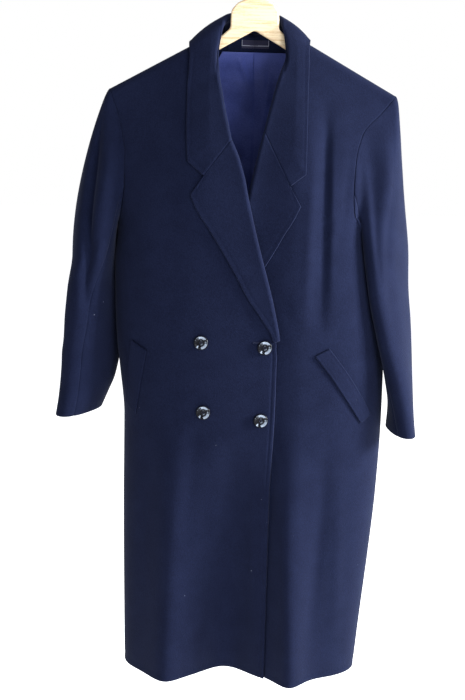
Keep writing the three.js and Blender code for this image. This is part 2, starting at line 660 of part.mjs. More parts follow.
function collarGrid() {
  const half = (table, pointAt, sign, narrow) => [
    ...table.map((row) => frontFold(
      pointAt,
      { x: row.rx, z: row.rz },
      { x: row.ex, z: row.ez },
      row.strip,
    )),
    ...COLLAR_NECK.map((row) => (
      neckFold(
        vec(sign * row.rx * mix(narrow, 1, COLLAR_ROLL_SHARE), row.ry, row.rz),
        vec(sign * row.ex * narrow, row.ey, row.ez + (1 - narrow) * COLLAR_LEFT_RISE),
        vec(sign * row.bx, row.by, row.bz),
      )
    )),
  ];
  const c = COLLAR_CENTRE;
  const centre = neckFold(vec(c.rx, c.ry, c.rz), vec(c.ex, c.ey, c.ez), vec(c.bx, c.by, c.bz));
  const right = half(COLLAR_RIGHT, rightFrontPoint, -1, 1);
  const left = half(COLLAR_LEFT, leftFrontPoint, 1, COLLAR_LEFT_SHARE);
  return [...right, centre, ...left.reverse()];
}

function foldWall(grid) {
  const normals = gridNormals(grid);
  return wall(moved(grid, normals, WOOL / 2), moved(grid, normals, -WOOL / 2));
}

// Pieces that lie inside the back: the neck facing, the lining below it and the label
function insideBack(xAt, zAt, rows, cols, depth, thickness) {
  const grid = [];
  for (let r = 0; r <= rows; r += 1) {
    const row = [];
    for (let c = 0; c <= cols; c += 1) {
      const x = xAt(c / cols, r / rows);
      row.push(bodyPoint('back', x, zAt(r / rows, x)));
    }
    grid.push(row);
  }
  const normals = gridNormals(grid);
  if (normals[rows][0].y < 0) normals.forEach((row) => row.forEach((n) => n.negate()));
  return wall(moved(grid, normals, -depth), moved(grid, normals, -depth - thickness));
}

// A welt lies on its front, tilted, its long edges parallel
function weltGeometry(pointAt, wearer) {
  const side = wearer === 'right' ? -1 : 1;
  const welt = WELT[wearer];
  const fromSide = (round, z) => {
    let x = side * sideOf[wearer](z);
    let last = pointAt(x, z);
    for (let gone = 0; gone < round;) {
      x -= side;
      const next = pointAt(x, z);
      gone += next.distanceTo(last);
      last = next;
    }
    return last;
  };
  const grid = [];
  for (let r = 0; r <= WELT_STEPS; r += 1) {
    const t = r / WELT_STEPS;
    const row = [];
    for (let c = 0; c <= 2; c += 1) {
      const u = c / 2;
      const inner = mix(welt.topInner, welt.bottomInner, t);
      const round = mix(inner, mix(welt.topOuter, welt.bottomOuter, t), u);
      const z = welt.top - welt.drop * t - welt.tilt * (1 - u);
      row.push(fromSide(round, z));
    }
    grid.push(row);
  }
  const normals = gridNormals(grid);
  if (normals[0][0].y > 0) normals.forEach((row) => row.forEach((n) => n.negate()));
  return wall(moved(grid, normals, WELT_SEAT + WOOL), moved(grid, normals, WELT_SEAT));
}

// A round button with a rim, a dish and four holes
function toManifold(geometry) {
  const bare = geometry.clone();
  bare.deleteAttribute('normal');
  bare.deleteAttribute('uv');
  const merged = BufferGeometryUtils.mergeVertices(bare, 1e-4);
  return new wasm.Manifold(new wasm.Mesh({
    numProp: 3,
    vertProperties: new Float32Array(merged.attributes.position.array),
    triVerts: new Uint32Array(merged.index.array),
  }));
}

function fromManifold(solid) {
  const mesh = solid.getMesh();
  const geometry = new THREE.BufferGeometry();
  geometry.setAttribute('position', new THREE.BufferAttribute(mesh.vertProperties, 3));
  geometry.setIndex(new THREE.BufferAttribute(mesh.triVerts, 1));
  return geometry;
}

function buttonGeometry() {
  const { radius, thickness, rim, dish, hole, pitch } = BUTTON;
  const profile = [
    [0, 0], [radius - 1.5, 0], [radius, thickness * 0.45], [radius - 0.8, thickness],
    [radius - rim, thickness - 0.2], [radius - rim - 1, thickness - dish], [0, thickness - dish],
  ].map(([r, h]) => new THREE.Vector2(r, h));
  let solid = toManifold(new THREE.LatheGeometry(profile, BUTTON_SIDES));
  for (const sx of [-1, 1]) {
    for (const sz of [-1, 1]) {
      const drill = new THREE.CylinderGeometry(hole, hole, thickness * 3, HOLE_SIDES);
      drill.translate((sx * pitch) / 2, 0, (sz * pitch) / 2);
      solid = solid.subtract(toManifold(drill));
    }
  }
  const geometry = fromManifold(solid);
  geometry.rotateX(Math.PI / 2);
  return geometry;
}

// Flat wooden hanger: arms under the shoulders, a raised middle that takes the hook
function hangerGeometry() {
  const { thickness, bevel, tip, seat, foot, footSlope, crown } = HANGER;
  const top = (x) => NECK_Z - seat - SHOULDER_SLOPE * (x - NECK_X);
  const half = [
    [12, crown - 2], [28, crown - 20], [44, crown - 51], [62, crown - 70], [NECK_X, top(NECK_X)],
    [150, top(150)], [tip - 12, top(tip - 12)], [tip - 3, top(tip) - 3], [tip, top(tip) - 12],
    [tip - 4, top(tip) - 21], [tip - 14, top(tip) - 19],
    [150, Math.min(foot - footSlope * 150, top(150) - 24)], [70, foot - footSlope * 70],
  ];
  const right = half.map(([x, z]) => new THREE.Vector2(x, z));
  const left = half.map(([x, z]) => new THREE.Vector2(-x, z)).reverse();
  const outline = [new THREE.Vector2(0, crown), ...right, new THREE.Vector2(0, foot), ...left];
  const geometry = new THREE.ExtrudeGeometry(new THREE.Shape(outline), {
    depth: thickness - 2 * bevel, bevelEnabled: true, bevelSize: bevel, bevelOffset: -bevel,
    bevelThickness: bevel, bevelSegments: 2, steps: 1,
  });
  geometry.translate(0, 0, -(thickness - 2 * bevel) / 2);
  geometry.rotateX(Math.PI / 2);
  return geometry;
}

// Steel hook: a straight stem and an open round crown, its underside at the origin
function hookGeometry() {
  const { wire, radius, stem, bend } = HOOK;
  const middle = wire / 2 - radius;
  const points = [vec(0, 0, stem), vec(0, 0, (stem + bend) / 2), vec(0, 0, bend)];
  for (let a = -50; a <= 200; a += 25) {
    const angle = THREE.MathUtils.degToRad(a);
    points.push(vec(radius * Math.cos(angle), 0, middle + radius * Math.sin(angle)));
  }
  const path = new THREE.CatmullRomCurve3(points, false, 'centripetal');
  const ring = new THREE.Shape();
  ring.absarc(0, 0, wire / 2, 0, Math.PI * 2, false);
  return new THREE.ExtrudeGeometry(ring, {
    extrudePath: path, steps: 34, curveSegments: 5, bevelEnabled: false,
  });
}

// Assembly
const coat = new THREE.Group();

function add(name, geometry, material) {
  const mesh = new THREE.Mesh(geometry, material);
  mesh.name = name;
  coat.add(mesh);
  return mesh;
}

const rightFront = frontPanel('right');
const leftFront = frontPanel('left');
const back = backPanel();
const panels = [
  ['front_right', rightFront, frontThickness('right')],
  ['front_left', leftFront, frontThickness('left')],
  ['back', back, -WOOL],
];
for (const [name, panel, thickness] of panels) {
  add(name, wall(panel.grid, moved(panel.grid, panel.normals, thickness)), NAVY);
}

for (const [wearer, front] of [['right', rightFront], ['left', leftFront]]) {
  const columns = sleeveGrid(wearer, front, back);
  const all = Array.from({ length: columns.length }, (_, i) => i);
  const under = all.slice(UNDER_SLEEVE.from, UNDER_SLEEVE.to + 1);
  const upper = [...all.slice(UNDER_SLEEVE.to), ...all.slice(1, UNDER_SLEEVE.from + 1)];
  add(`upper_sleeve_${wearer}`, sleevePiece(columns, upper), NAVY);
  add(`under_sleeve_${wearer}`, sleevePiece(columns, under), NAVY);
}

add('lapel_right', foldWall(lapelGrid(rightFrontPoint, 'right', LAPEL_RIGHT)), NAVY);
add('lapel_left', foldWall(lapelGrid(leftFrontPoint, 'left', LAPEL_LEFT)), NAVY);
add('collar', foldWall(collarGrid()), NAVY);
add('pocket_welt_right', weltGeometry(rightFrontPoint, 'right'), NAVY);
add('pocket_welt_left', weltGeometry(leftFrontPoint, 'left'), NAVY);

const neckEdge = NECK_Z + 1.5;
add('neck_facing', insideBack(
  (u) => mix(-FACING.reach, FACING.reach, u),
  (v) => mix(neckEdge, FACING.hem, v),
  FACING.rows, FACING.columns, FACING.depth, FACING.thickness,
), NAVY);
add('back_lining', insideBack(
  (u, v) => mix(-1, 1, u) * mix(LINING.top, LINING.bottom, Math.min(1, 3 * v)),
  (v) => mix(FACING.hem - 1, LINING.hem, v),
  LINING.rows, LINING.columns, LINING.depth, LINING.thickness,
), SATIN);
add('neck_label', insideBack(
  (u) => mix(LABEL_AT.left, LABEL_AT.right, u),
  (v) => mix(LABEL_AT.top, LABEL_AT.foot, v),
  2, 6, FACING.depth + FACING.thickness + SEAM_GAP, LABEL_AT.thickness,
), LABEL);

for (const place of BUTTON_PLACES) {
  const seat = rightFrontPoint(place.x, place.z);
  const aside = rightFrontPoint(place.x + 5, place.z).sub(rightFrontPoint(place.x - 5, place.z));
  const below = rightFrontPoint(place.x, place.z - 5).sub(rightFrontPoint(place.x, place.z + 5));
  const normal = aside.cross(below).normalize();
  if (normal.y > 0) normal.negate();
  const button = add(place.name, buttonGeometry(), HORN);
  button.quaternion.setFromUnitVectors(vec(0, 0, 1), normal);
  button.position.copy(seat).addScaledVector(normal, BUTTON_SEAT);
}

const hanger = toManifold(hangerGeometry());
const socket = new THREE.CylinderGeometry(HOOK.wire / 2 + SEAM_GAP, HOOK.wire / 2 + SEAM_GAP, 20, 12);
socket.rotateX(Math.PI / 2);
socket.translate(0, 0, HOOK.stem - SEAM_GAP + 10);
add('hanger', fromManifold(hanger.subtract(toManifold(socket))), WOOD);
add('hook', hookGeometry(), WIRE);

export default coat;
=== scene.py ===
"""A long double-breasted wool overcoat on a wooden hanger.

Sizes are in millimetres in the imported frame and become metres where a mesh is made.
Right and left are the wearer's, so the right front shows on the viewer's left.
"""
import logging
import math
from dataclasses import dataclass
from enum import Enum
from typing import Callable, Sequence

import bpy
import numpy as np
from bpy.types import Material, Node, NodeSocket, NodeTree, Object
from mathutils import Matrix, Vector


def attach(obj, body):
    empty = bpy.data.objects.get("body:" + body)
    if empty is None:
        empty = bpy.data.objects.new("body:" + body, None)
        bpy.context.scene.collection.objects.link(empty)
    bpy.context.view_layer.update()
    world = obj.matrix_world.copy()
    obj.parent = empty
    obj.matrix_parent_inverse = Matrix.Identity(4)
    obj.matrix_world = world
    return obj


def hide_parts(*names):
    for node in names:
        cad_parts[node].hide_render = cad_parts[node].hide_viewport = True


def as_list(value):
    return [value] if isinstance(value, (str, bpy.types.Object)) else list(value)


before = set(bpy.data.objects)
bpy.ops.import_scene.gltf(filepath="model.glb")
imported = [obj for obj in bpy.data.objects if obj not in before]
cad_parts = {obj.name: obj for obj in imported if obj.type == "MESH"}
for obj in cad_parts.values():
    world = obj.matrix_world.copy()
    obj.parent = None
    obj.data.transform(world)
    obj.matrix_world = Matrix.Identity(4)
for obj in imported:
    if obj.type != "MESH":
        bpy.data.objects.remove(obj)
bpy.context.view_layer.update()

logging.basicConfig(level=logging.INFO, format="%(message)s")
LOG = logging.getLogger("overcoat")
MM = 0.001
BODY_NAME = "root"

WOOL = 2.6
EDGE_WOOL = 5.0
SEAM_GAP = 0.3
HEM_Z = -1360.0
ARMPIT_Z = -480.0
NECK_X = 78.0
NECK_Z = -131.0
SHOULDER_SLOPE = 0.545
SHOULDER_TIP_X = 262.0
SHOULDER_ROUND = 14.0
UNDERLAP = 13.3
ROLL_RADIUS = 5.0
ROLL_END_Z = -688.0
LEAF_GAP = 2.0
LEAF_REST = WOOL / 2 + LEAF_GAP
SLEEVE_POWER = 2.3
CREASE_BEND = 0.0216
MEETING_ROUNDS = 24
SHEEN_TINT = (0.42, 0.48, 0.72, 1)
POLISHED_SPECULAR = 0.12
CLOTH_SPECULAR = 0.09
ROW_STEPS = 9
LAPEL_STRIP = 22
CAP_LEAVES = 55
CAP_LEAVES_UNDERARM = 12
SEAM_PRESS = 0.7
EDGE_STITCH_IN = 6.5
HEM_STITCH_UP = 9
BOTH_FRONTS = ("front_right_cloth", "front_left_cloth")


class Wearer(Enum):
    """The wearer's side, with the sign of its x."""

    RIGHT = -1
    LEFT = 1


class Face(Enum):
    """The front or the back of the body, with its power and reach of roundness."""

    FRONT = (2.5, 300.0, -1)
    BACK = (3.0, 140.0, 1)

    @property
    def power(self) -> float:
        """How square the section is."""
        return self.value[0]

    @property
    def reach(self) -> float:
        """How far below the shoulder the section gets its whole depth."""
        return self.value[1]

    @property
    def sign(self) -> int:
        """The sign of y on this face."""
        return self.value[2]


@dataclass(frozen=True)
class BodyRow:
    """Half widths, seam depth and stand-off of the body at a height."""

    z: float
    left: float
    right: float
    seam_y: float
    front: float
    back: float


@dataclass(frozen=True)
class ArmholeRow:
    """Distance from the centre to the armhole seam at a height."""

    z: float
    right_front: float
    left_front: float
    right_back: float
    left_back: float


@dataclass(frozen=True)
class Fold:
    """A long fold of a face from its top end to its bottom end."""

    face: Face
    x0: float
    z0: float
    x1: float
    z1: float
    width: float
    out0: float
    out1: float


@dataclass(frozen=True)
class Crease:
    """A short soft crease, deepest in its middle; out is + for a ridge."""

    face: Face
    x0: float
    z0: float
    x1: float
    z1: float
    width: float
    out: float


@dataclass(frozen=True)
class Edge:
    """A point of a roll line or front edge."""

    z: float
    x: float


@dataclass(frozen=True)
class LeafRow:
    """A row across a lapel: its height on the roll line and its outline point."""

    roll: float
    x: float
    z: float


@dataclass(frozen=True)
class CollarRow:
    """A row across the collar where it lies on a front."""

    rx: float
    rz: float
    ex: float
    ez: float
    strip: float


@dataclass(frozen=True)
class NeckRow:
    """A row across the collar round the neck: roll, outer edge and foot."""

    rx: float
    ry: float
    rz: float
    ex: float
    ey: float
    ez: float
    bx: float
    by: float
    bz: float


@dataclass(frozen=True)
class SleeveRow:
    """A section of a sleeve: its centre, half sizes and turn about the vertical."""

    z: float
    x: float
    y: float
    half: float
    breadth: float
    turn: float


@dataclass(frozen=True)
class Welt:
    """A pocket welt, by distances round from the side seam and by heights."""

    top_inner: float
    top_outer: float
    bottom_inner: float
    bottom_outer: float
    top: float
    drop: float
    tilt: float


@dataclass(frozen=True)
class SleeveCrease:
    """A crease of a sleeve, in shares round it and heights down it."""

    share0: float
    z0: float
    share1: float
    z1: float
    width: float
    out: float


WELTS = {
    Wearer.RIGHT: Welt(114, 83, 76, 48, -691, 125, 16),
    Wearer.LEFT: Welt(187, 159, 96, 72, -692, 131, 13),
}
BODY_ROWS = (
    BodyRow(-88, 275, 278, 0, 70, 74), BodyRow(-240, 272, 276, 0, 82, 74),
    BodyRow(-350, 249, 268, 4, 95, 72), BodyRow(-420, 232, 256, 8, 101, 70),
    BodyRow(-480, 224, 246, 10, 104, 70), BodyRow(-540, 233, 251, 11, 107, 71),
    BodyRow(-620, 248, 250, 12, 110, 73), BodyRow(-700, 262, 246, 12, 112, 75),
    BodyRow(-752, 267, 240, 12, 113, 76), BodyRow(-850, 268, 231, 13, 113, 79),
    BodyRow(-980, 265, 231, 14, 110, 82), BodyRow(-1110, 257, 230, 15, 106, 84),
    BodyRow(-1250, 246, 228, 16, 102, 86), BodyRow(-1360, 238, 226, 16, 100, 88),
)
ARMHOLE_ROWS = (
    ArmholeRow(-232, 262, 262, 262, 262), ArmholeRow(-263, 250, 236, 250, 250),
    ArmholeRow(-300, 239, 203, 241, 240), ArmholeRow(-350, 231, 191, 233, 232),
    ArmholeRow(-400, 231, 189, 230, 226), ArmholeRow(-445, 236, 192, 234, 218),
    ArmholeRow(-468, 241, 208, 241, 219), ArmholeRow(-480, 246, 224, 246, 224),
)
FOLDS = (
    Fold(Face.FRONT, 136, -225, 133, -690, 17, -8, -6),
    Fold(Face.FRONT, -130, -760, -148, -1500, 38, 0, 44),
    Fold(Face.FRONT, -16, -820, -24, -1500, 58, 0, -72),
    Fold(Face.FRONT, 92, -760, 108, -1500, 33, 0, 46),
    Fold(Face.BACK, -120, -620, -135, -1500, 42, 0, 26),
    Fold(Face.BACK, -20, -700, -26, -1500, 46, 0, -24),
    Fold(Face.BACK, 90, -600, 104, -1500, 44, 0, 28),
)
CREASES = (
    Crease(Face.FRONT, 155, -246, 152, -600, 9, 3.2),
    Crease(Face.FRONT, 132, -236, 130, -680, 8, -4.4),
    Crease(Face.FRONT, 116, -300, 118, -660, 10, 2.4),
    Crease(Face.FRONT, 178, -300, 172, -520, 9, -2.0),
    Crease(Face.FRONT, -150, -330, -140, -640, 22, -1.8),
    Crease(Face.FRONT, -196, -420, -178, -700, 16, 1.5),
    Crease(Face.FRONT, -40, -800, -34, -1240, 20, 1.6),
    Crease(Face.FRONT, -92, -760, -100, -1180, 16, -2.0),
    Crease(Face.FRONT, -188, -820, -190, -1300, 18, -2.6),
    Crease(Face.FRONT, 66, -760, 68, -1345, 7, -4.2),
    Crease(Face.FRONT, 92, -860, 100, -1350, 11, 3.4),
    Crease(Face.FRONT, 30, -900, 26, -1340, 9, 2.0),
    Crease(Face.FRONT, 146, -830, 142, -1345, 13, -3.6),
    Crease(Face.FRONT, 188, -880, 182, -1330, 13, 3.0),
    Crease(Face.FRONT, 212, -560, 216, -740, 10, -1.6),
    Crease(Face.FRONT, -226, -560, -214, -660, 8, 1.2),
    Crease(Face.FRONT, 60, -590, 96, -660, 9, -1.2),
    Crease(Face.BACK, -150, -300, -120, -620, 24, -2.4),
    Crease(Face.BACK, 150, -300, 118, -600, 24, -2.2),
    Crease(Face.BACK, 40, -420, 44, -900, 18, 1.6),
    Crease(Face.BACK, -60, -520, -70, -1020, 20, 1.8),
    Crease(Face.BACK, -190, -560, -196, -1180, 14, 2.0),
    Crease(Face.BACK, 196, -620, 198, -1220, 15, 2.2),
    Crease(Face.BACK, 20, -1000, 30, -1350, 14, 2.0),
    Crease(Face.BACK, -70, -1060, -78, -1350, 12, -2.0),
)
ROLL_RIGHT = tuple(Edge(z, x) for z, x in (
    (-131, -78), (-161, -73), (-192, -68), (-228, -62), (-269, -53), (-319, -40),
    (-365, -21), (-426, -7), (-505, 13), (-571, 32), (-625, 46), (-688, 57),
    (-835, 56), (-980, 52), (-1360, 52),
))
ROLL_LEFT = tuple(Edge(z, x) for z, x in (
    (-131, 78), (-161, 73), (-188, 61), (-228, 44), (-269, 33), (-304, 25), (-366, 12),
    (-432, -1), (-540, -30), (-620, -64), (-690, -103), (-1360, -103),
))
LAPEL_RIGHT = tuple(LeafRow(*row) for row in (
    (-320, -84, -380), (-352, -95, -397), (-385, -107, -415), (-420, -94, -443),
    (-451, -75, -471), (-492, -51, -508), (-538, -25, -551), (-594, 4, -603),
    (-623, 23, -629), (-644, 36, -648), (-662, 46, -664), (-677, 51, -678),
))
LAPEL_LEFT = tuple(LeafRow(*row) for row in (
    (-305, 71, -395), (-360, 81, -413), (-413, 91, -431), (-442, 77, -460),
    (-468, 63, -483), (-492, 51, -506), (-530, 28, -545), (-578, -10, -595),
    (-632, -56, -645), (-672, -86, -679),
))
LAPEL_POINT_ROW = 2
COLLAR_RIGHT = (
    CollarRow(-40, -319.5, -84.6, -379.2, 20), CollarRow(-46, -297, -114, -355, 20),
    CollarRow(-54, -264, -117, -312, 18), CollarRow(-61, -231, -118, -268, 15),
    CollarRow(-67, -200, -118, -226, 11),
)
COLLAR_LEFT = (
    CollarRow(25.2, -304.5, 71.4, -394.3, 20), CollarRow(31, -280, 99, -373, 20),
    CollarRow(38, -253, 99, -326, 18), CollarRow(45, -226, 99, -278, 15),
    CollarRow(54, -197, 99, -230, 11),
)
COLLAR_TIP_ROW = 1
COLLAR_NECK = (
    NeckRow(70, -20, -166, 117, -28, -188, 74, -13.5, -158),
    NeckRow(66, -14, -134, 117, -23, -167, 77, -9.5, -131),
    NeckRow(61, -7, -118, 117, -12, -152.5, 77.5, -4, -129),
    NeckRow(56, 4, -106, 116, 1, -148.2, 76.5, 4, -129),
    NeckRow(46, 22, -98, 106, 30, -150, 64, 24, -127),
    NeckRow(28, 36, -94.5, 66, 58, -152, 36, 38, -126),
)
COLLAR_CENTRE = NeckRow(0, 42, -93, 0, 67, -153, 0, 43, -125.5)
COLLAR_LEFT_SHARE = 0.86
SLEEVE_RIGHT = (
    SleeveRow(-540, -290, 0, 40, 72, -3), SleeveRow(-600, -290, -3, 38, 72, -22),
    SleeveRow(-666, -292, -6, 36, 71, -31), SleeveRow(-730, -294, -10, 33, 69, -38),
    SleeveRow(-775, -299, -15, 31, 67, -36), SleeveRow(-808, -307, -20, 29, 65, -31),
    SleeveRow(-836, -315, -24, 27, 63, -28),
)
SLEEVE_LEFT = (
    SleeveRow(-540, 263, 0, 28, 72, 31), SleeveRow(-600, 270, -2, 26, 71, 29),
    SleeveRow(-650, 278.5, -4, 26.5, 69, 26), SleeveRow(-706, 288, -7, 26, 67, 20),
    SleeveRow(-760, 296, -10, 26, 65, 11), SleeveRow(-815, 302, -13, 24, 63, 2),
    SleeveRow(-862, 304, -16, 23, 62, -8),
)
SLEEVE_CREASES = {
    Wearer.RIGHT: (
        SleeveCrease(0.04, -245, 0.2, -535, 0.036, -13.0),
        SleeveCrease(0.11, -420, 0.4, -660, 0.04, -13.0),
        SleeveCrease(0.17, -290, 0.27, -500, 0.045, 5.0),
        SleeveCrease(0.04, -500, 0.14, -780, 0.045, -3.0),
        SleeveCrease(0.3, -480, 0.14, -560, 0.05, -2.2),
        SleeveCrease(0.7, -470, 0.8, -600, 0.05, -3.0),
        SleeveCrease(0.08, -640, 0.2, -720, 0.05, -2.0),
        SleeveCrease(0.85, -380, 0.8, -560, 0.05, 2.4),
    ),
    Wearer.LEFT: (
        SleeveCrease(0.14, -270, 0.09, -470, 0.045, 5.0),
        SleeveCrease(0.21, -290, 0.16, -600, 0.035, -4.6),
        SleeveCrease(0.06, -330, 0.12, -620, 0.035, -3.0),
        SleeveCrease(0.06, -520, 0.14, -700, 0.05, -2.0),
        SleeveCrease(0.7, -470, 0.8, -600, 0.05, -3.0),
        SleeveCrease(0.84, -400, 0.78, -600, 0.05, 2.6),
    ),
}


def smoothstep(low: float, high: float, value: np.ndarray | float) -> np.ndarray:
    """A soft step.

    Args:
        low: Where the step starts; it may lie above high.
        high: Where it ends.
        value: Where it is wanted.

    Returns:
        0 before low, 1 past high and a smooth rise between.
    """
    t = np.clip((np.asarray(value, float) - low) / (high - low), 0, 1)
    return t * t * (3 - 2 * t)


def ridge(value: np.ndarray, middle: np.ndarray | float, width: float) -> np.ndarray:
    """A soft ridge: 1 over its middle and about a third at one width from it."""
    return np.exp(-(((value - middle) / width) ** 2))


class Track:
    """A smooth value along a table, with no overshoot and level ends."""

    def __init__(self, rows: Sequence, name: str, key: str = "z") -> None:
        """Keep one column of a table against another.

        Args:
            rows: The table.
            name: The column that is wanted.
            key: The column that it runs along.
        """
        ordered = sorted(rows, key=lambda row: getattr(row, key))
        self.at = np.array([getattr(row, key) for row in ordered], float)
        self.value = np.array([getattr(row, name) for row in ordered], float)
        step = np.diff(self.value) / np.diff(self.at)
        before, after = step[:-1], step[1:]
        both = np.where(before * after > 0, 2 * before * after, 0.0)
        middle = both / np.where(np.abs(before + after) > 1e-12, before + after, 1.0)
        self.slope = np.concatenate([step[:1], middle, step[-1:]])

    def __call__(self, x: np.ndarray | float) -> np.ndarray:
        """The value at a place.

        Args:
            x: The place along the table.

        Returns:
            The value there.
        """
        x = np.clip(np.asarray(x, float), self.at[0], self.at[-1])
        i = np.clip(np.searchsorted(self.at, x) - 1, 0, len(self.at) - 2)
        h = self.at[i + 1] - self.at[i]
        t = (x - self.at[i]) / h
        t2, t3 = t * t, t * t * t
        near = (2 * t3 - 3 * t2 + 1) * self.value[i] + (t3 - 2 * t2 + t) * h * self.slope[i]
        far = (3 * t2 - 2 * t3) * self.value[i + 1] + (t3 - t2) * h * self.slope[i + 1]
        return near + far


def points(x: np.ndarray, y: np.ndarray, z: np.ndarray) -> np.ndarray:
    """Stack coordinates that broadcast together into points."""
    return np.stack(np.broadcast_arrays(x, y, z), axis=-1).astype(float)


def unit(vectors: np.ndarray) -> np.ndarray:
    """Vectors at length one."""
    return vectors / np.maximum(np.linalg.norm(vectors, axis=-1, keepdims=True), 1e-9)


def even_steps(curve: Callable[[np.ndarray], np.ndarray], steps: np.ndarray) -> np.ndarray:
    """Points along a curve at given shares of its length.

    Args:
        curve: Points for values from 0 to 1.
        steps: The shares of the length.

    Returns:
        The points, one for each share.
    """
    fine = np.linspace(0, 1, 241)
    length = np.concatenate([[0], np.cumsum(np.linalg.norm(np.diff(curve(fine), axis=0), axis=1))])
    return curve(np.interp(steps * length[-1], length, fine))


def grid_normals(grid: np.ndarray, wrap: bool = False) -> np.ndarray:
    """Normals of a grid of points.

    Args:
        grid: Points as rows, columns and coordinates.
        wrap: Whether the columns close into a ring.

    Returns:
        A unit normal for each point, all on one side of the sheet.
    """
    down = np.gradient(grid, axis=0)
    if wrap:
        ring = np.concatenate([grid[:, -2:-1], grid, grid[:, 1:2]], axis=1)
        along = ring[:, 2:] - ring[:, :-2]
    else:
        along = np.gradient(grid, axis=1)
    return unit(np.cross(down, along))


class CoatForm:
    """The coat's outer surface, worked out from its tables."""

    def __init__(self) -> None:
        """Make a smooth track from each column."""
        self.side = {Wearer.LEFT: Track(BODY_ROWS, "left"), Wearer.RIGHT: Track(BODY_ROWS, "right")}
        self.seam_y = Track(BODY_ROWS, "seam_y")
        self.stand_off = {Face.FRONT: Track(BODY_ROWS, "front"), Face.BACK: Track(BODY_ROWS, "back")}
        self.armhole = {
            (wearer, face): Track(ARMHOLE_ROWS, f"{wearer.name.lower()}_{face.name.lower()}")
            for wearer in Wearer for face in Face
        }
        self.roll = {Wearer.RIGHT: Track(ROLL_RIGHT, "x"), Wearer.LEFT: Track(ROLL_LEFT, "x")}

    def shoulder_z(self, x: np.ndarray, face: Face) -> np.ndarray:
        """Height of the shoulder ridge, which goes on rising behind the neck.

        Args:
            x: Distances across.
            face: Front or back.

        Returns:
            The heights.
        """
        away = np.abs(x) - NECK_X
        away = np.maximum(away, 0) if face is Face.FRONT else away
        return NECK_Z - SHOULDER_SLOPE * away

    def folds(self, face: Face, x: np.ndarray, z: np.ndarray) -> np.ndarray:
        """How far the folds and creases stand out.

        Args:
            face: Front or back.
            x: Distances across.
            z: Heights.

        Returns:
            The distance off the plain form at each place.
        """
        out = np.zeros(np.broadcast(x, z).shape)
        for fold in (f for f in FOLDS if f.face is face):
            t = (fold.z0 - z) / (fold.z0 - fold.z1)
            middle = fold.x0 + (fold.x1 - fold.x0) * t
            fade = smoothstep(0, 0.25, t) * smoothstep(0, 0.2, 1 - t)
            out += (fold.out0 + (fold.out1 - fold.out0) * t) * fade * ridge(x, middle, fold.width)
        for crease in (c for c in CREASES if c.face is face):
            run = np.array([crease.x1 - crease.x0, crease.z1 - crease.z0], float)
            length = np.linalg.norm(run)
            t = ((x - crease.x0) * run[0] + (z - crease.z0) * run[1]) / length**2
            bend = CREASE_BEND * length * np.sin(2.2 * t + crease.x0)
            across = ((x - crease.x0) * run[1] - (z - crease.z0) * run[0]) / length + bend
            fade = np.sin(np.pi * np.clip(t, 0, 1)) ** 1.3
            out += crease.out * fade * ridge(across, 0, crease.width)
        return out

    def surface(self, face: Face, x: np.ndarray, z: np.ndarray) -> np.ndarray:
        """Points of the body's outer surface over places of the XZ plane.

        Args:
            face: Front or back.
            x: Distances across.
            z: Heights.

        Returns:
            The points.
        """
        x, z = np.broadcast_arrays(np.asarray(x, float), np.asarray(z, float))
        side = np.where(x < 0, self.side[Wearer.RIGHT](z), self.side[Wearer.LEFT](z))
        rest = 1 - np.minimum(1, np.abs(x) / side) ** face.power
        rounded = np.maximum(rest, 0) ** (1 / face.power)
        drop = np.maximum(0, self.shoulder_z(x, face) - z)
        yoke = smoothstep(ARMPIT_Z, ARMPIT_Z + 90, z)
        radius = SHOULDER_ROUND * (rounded + (1 - rounded) * yoke)
        near = np.minimum(drop / SHOULDER_ROUND, 1)
        crest = radius * np.sqrt(near * (2 - near))
        fall = np.sin(np.pi / 2 * np.minimum(1, drop / face.reach))
        deep = self.stand_off[face](z) * rounded - radius
        off = crest + deep * fall + self.folds(face, x, z) * rounded
        return points(x, self.seam_y(z) + face.sign * off, z)

    def front(self, wearer: Wearer, x: np.ndarray, z: np.ndarray) -> np.ndarray:
        """Points of a front; the left one lies under the right one.

        Args:
            wearer: Whose side it is on.
            x: Distances across.
            z: Heights.

        Returns:
            The points.
        """
        out = self.surface(Face.FRONT, x, z)
        if wearer is Wearer.LEFT:
            under = 1 - smoothstep(5, 110, out[..., 0])
            out[..., 1] += UNDERLAP * under * smoothstep(150, 330, -out[..., 2])
        return out

    def row_z(self, yoke: float, x: np.ndarray, face: Face) -> np.ndarray:
        """Height along a row of the body.

        Args:
            yoke: The row: 0 at the shoulder, 1 at the armpit and 2 at the hem.
            x: Distances across.
            face: Front or back.

        Returns:
            The heights.
        """
        if yoke > 1:
            return np.full_like(np.asarray(x, float), ARMPIT_Z + (HEM_Z - ARMPIT_Z) * (yoke - 1))
        top = self.shoulder_z(x, face)
        if face is Face.BACK:
            top = np.where(np.abs(x) < NECK_X, NECK_Z + 3 * (1 - (x / NECK_X) ** 6), top)
        return top + (ARMPIT_Z - top) * yoke

    def outer_end(self, yoke: float, wearer: Wearer, face: Face) -> float:
        """Where a row meets the armhole or the side seam.

        Args:
            yoke: The row, as in row_z.
            wearer: Whose side it is on.
            face: Front or back.

        Returns:
            The distance across.
        """
        x = wearer.value * SHOULDER_TIP_X
        for _ in range(MEETING_ROUNDS):
            z = float(self.row_z(yoke, np.array(x), face))
            reach = self.armhole[wearer, face](z) if z > ARMPIT_Z else self.side[wearer](z)
            x = wearer.value * float(reach)
        return x

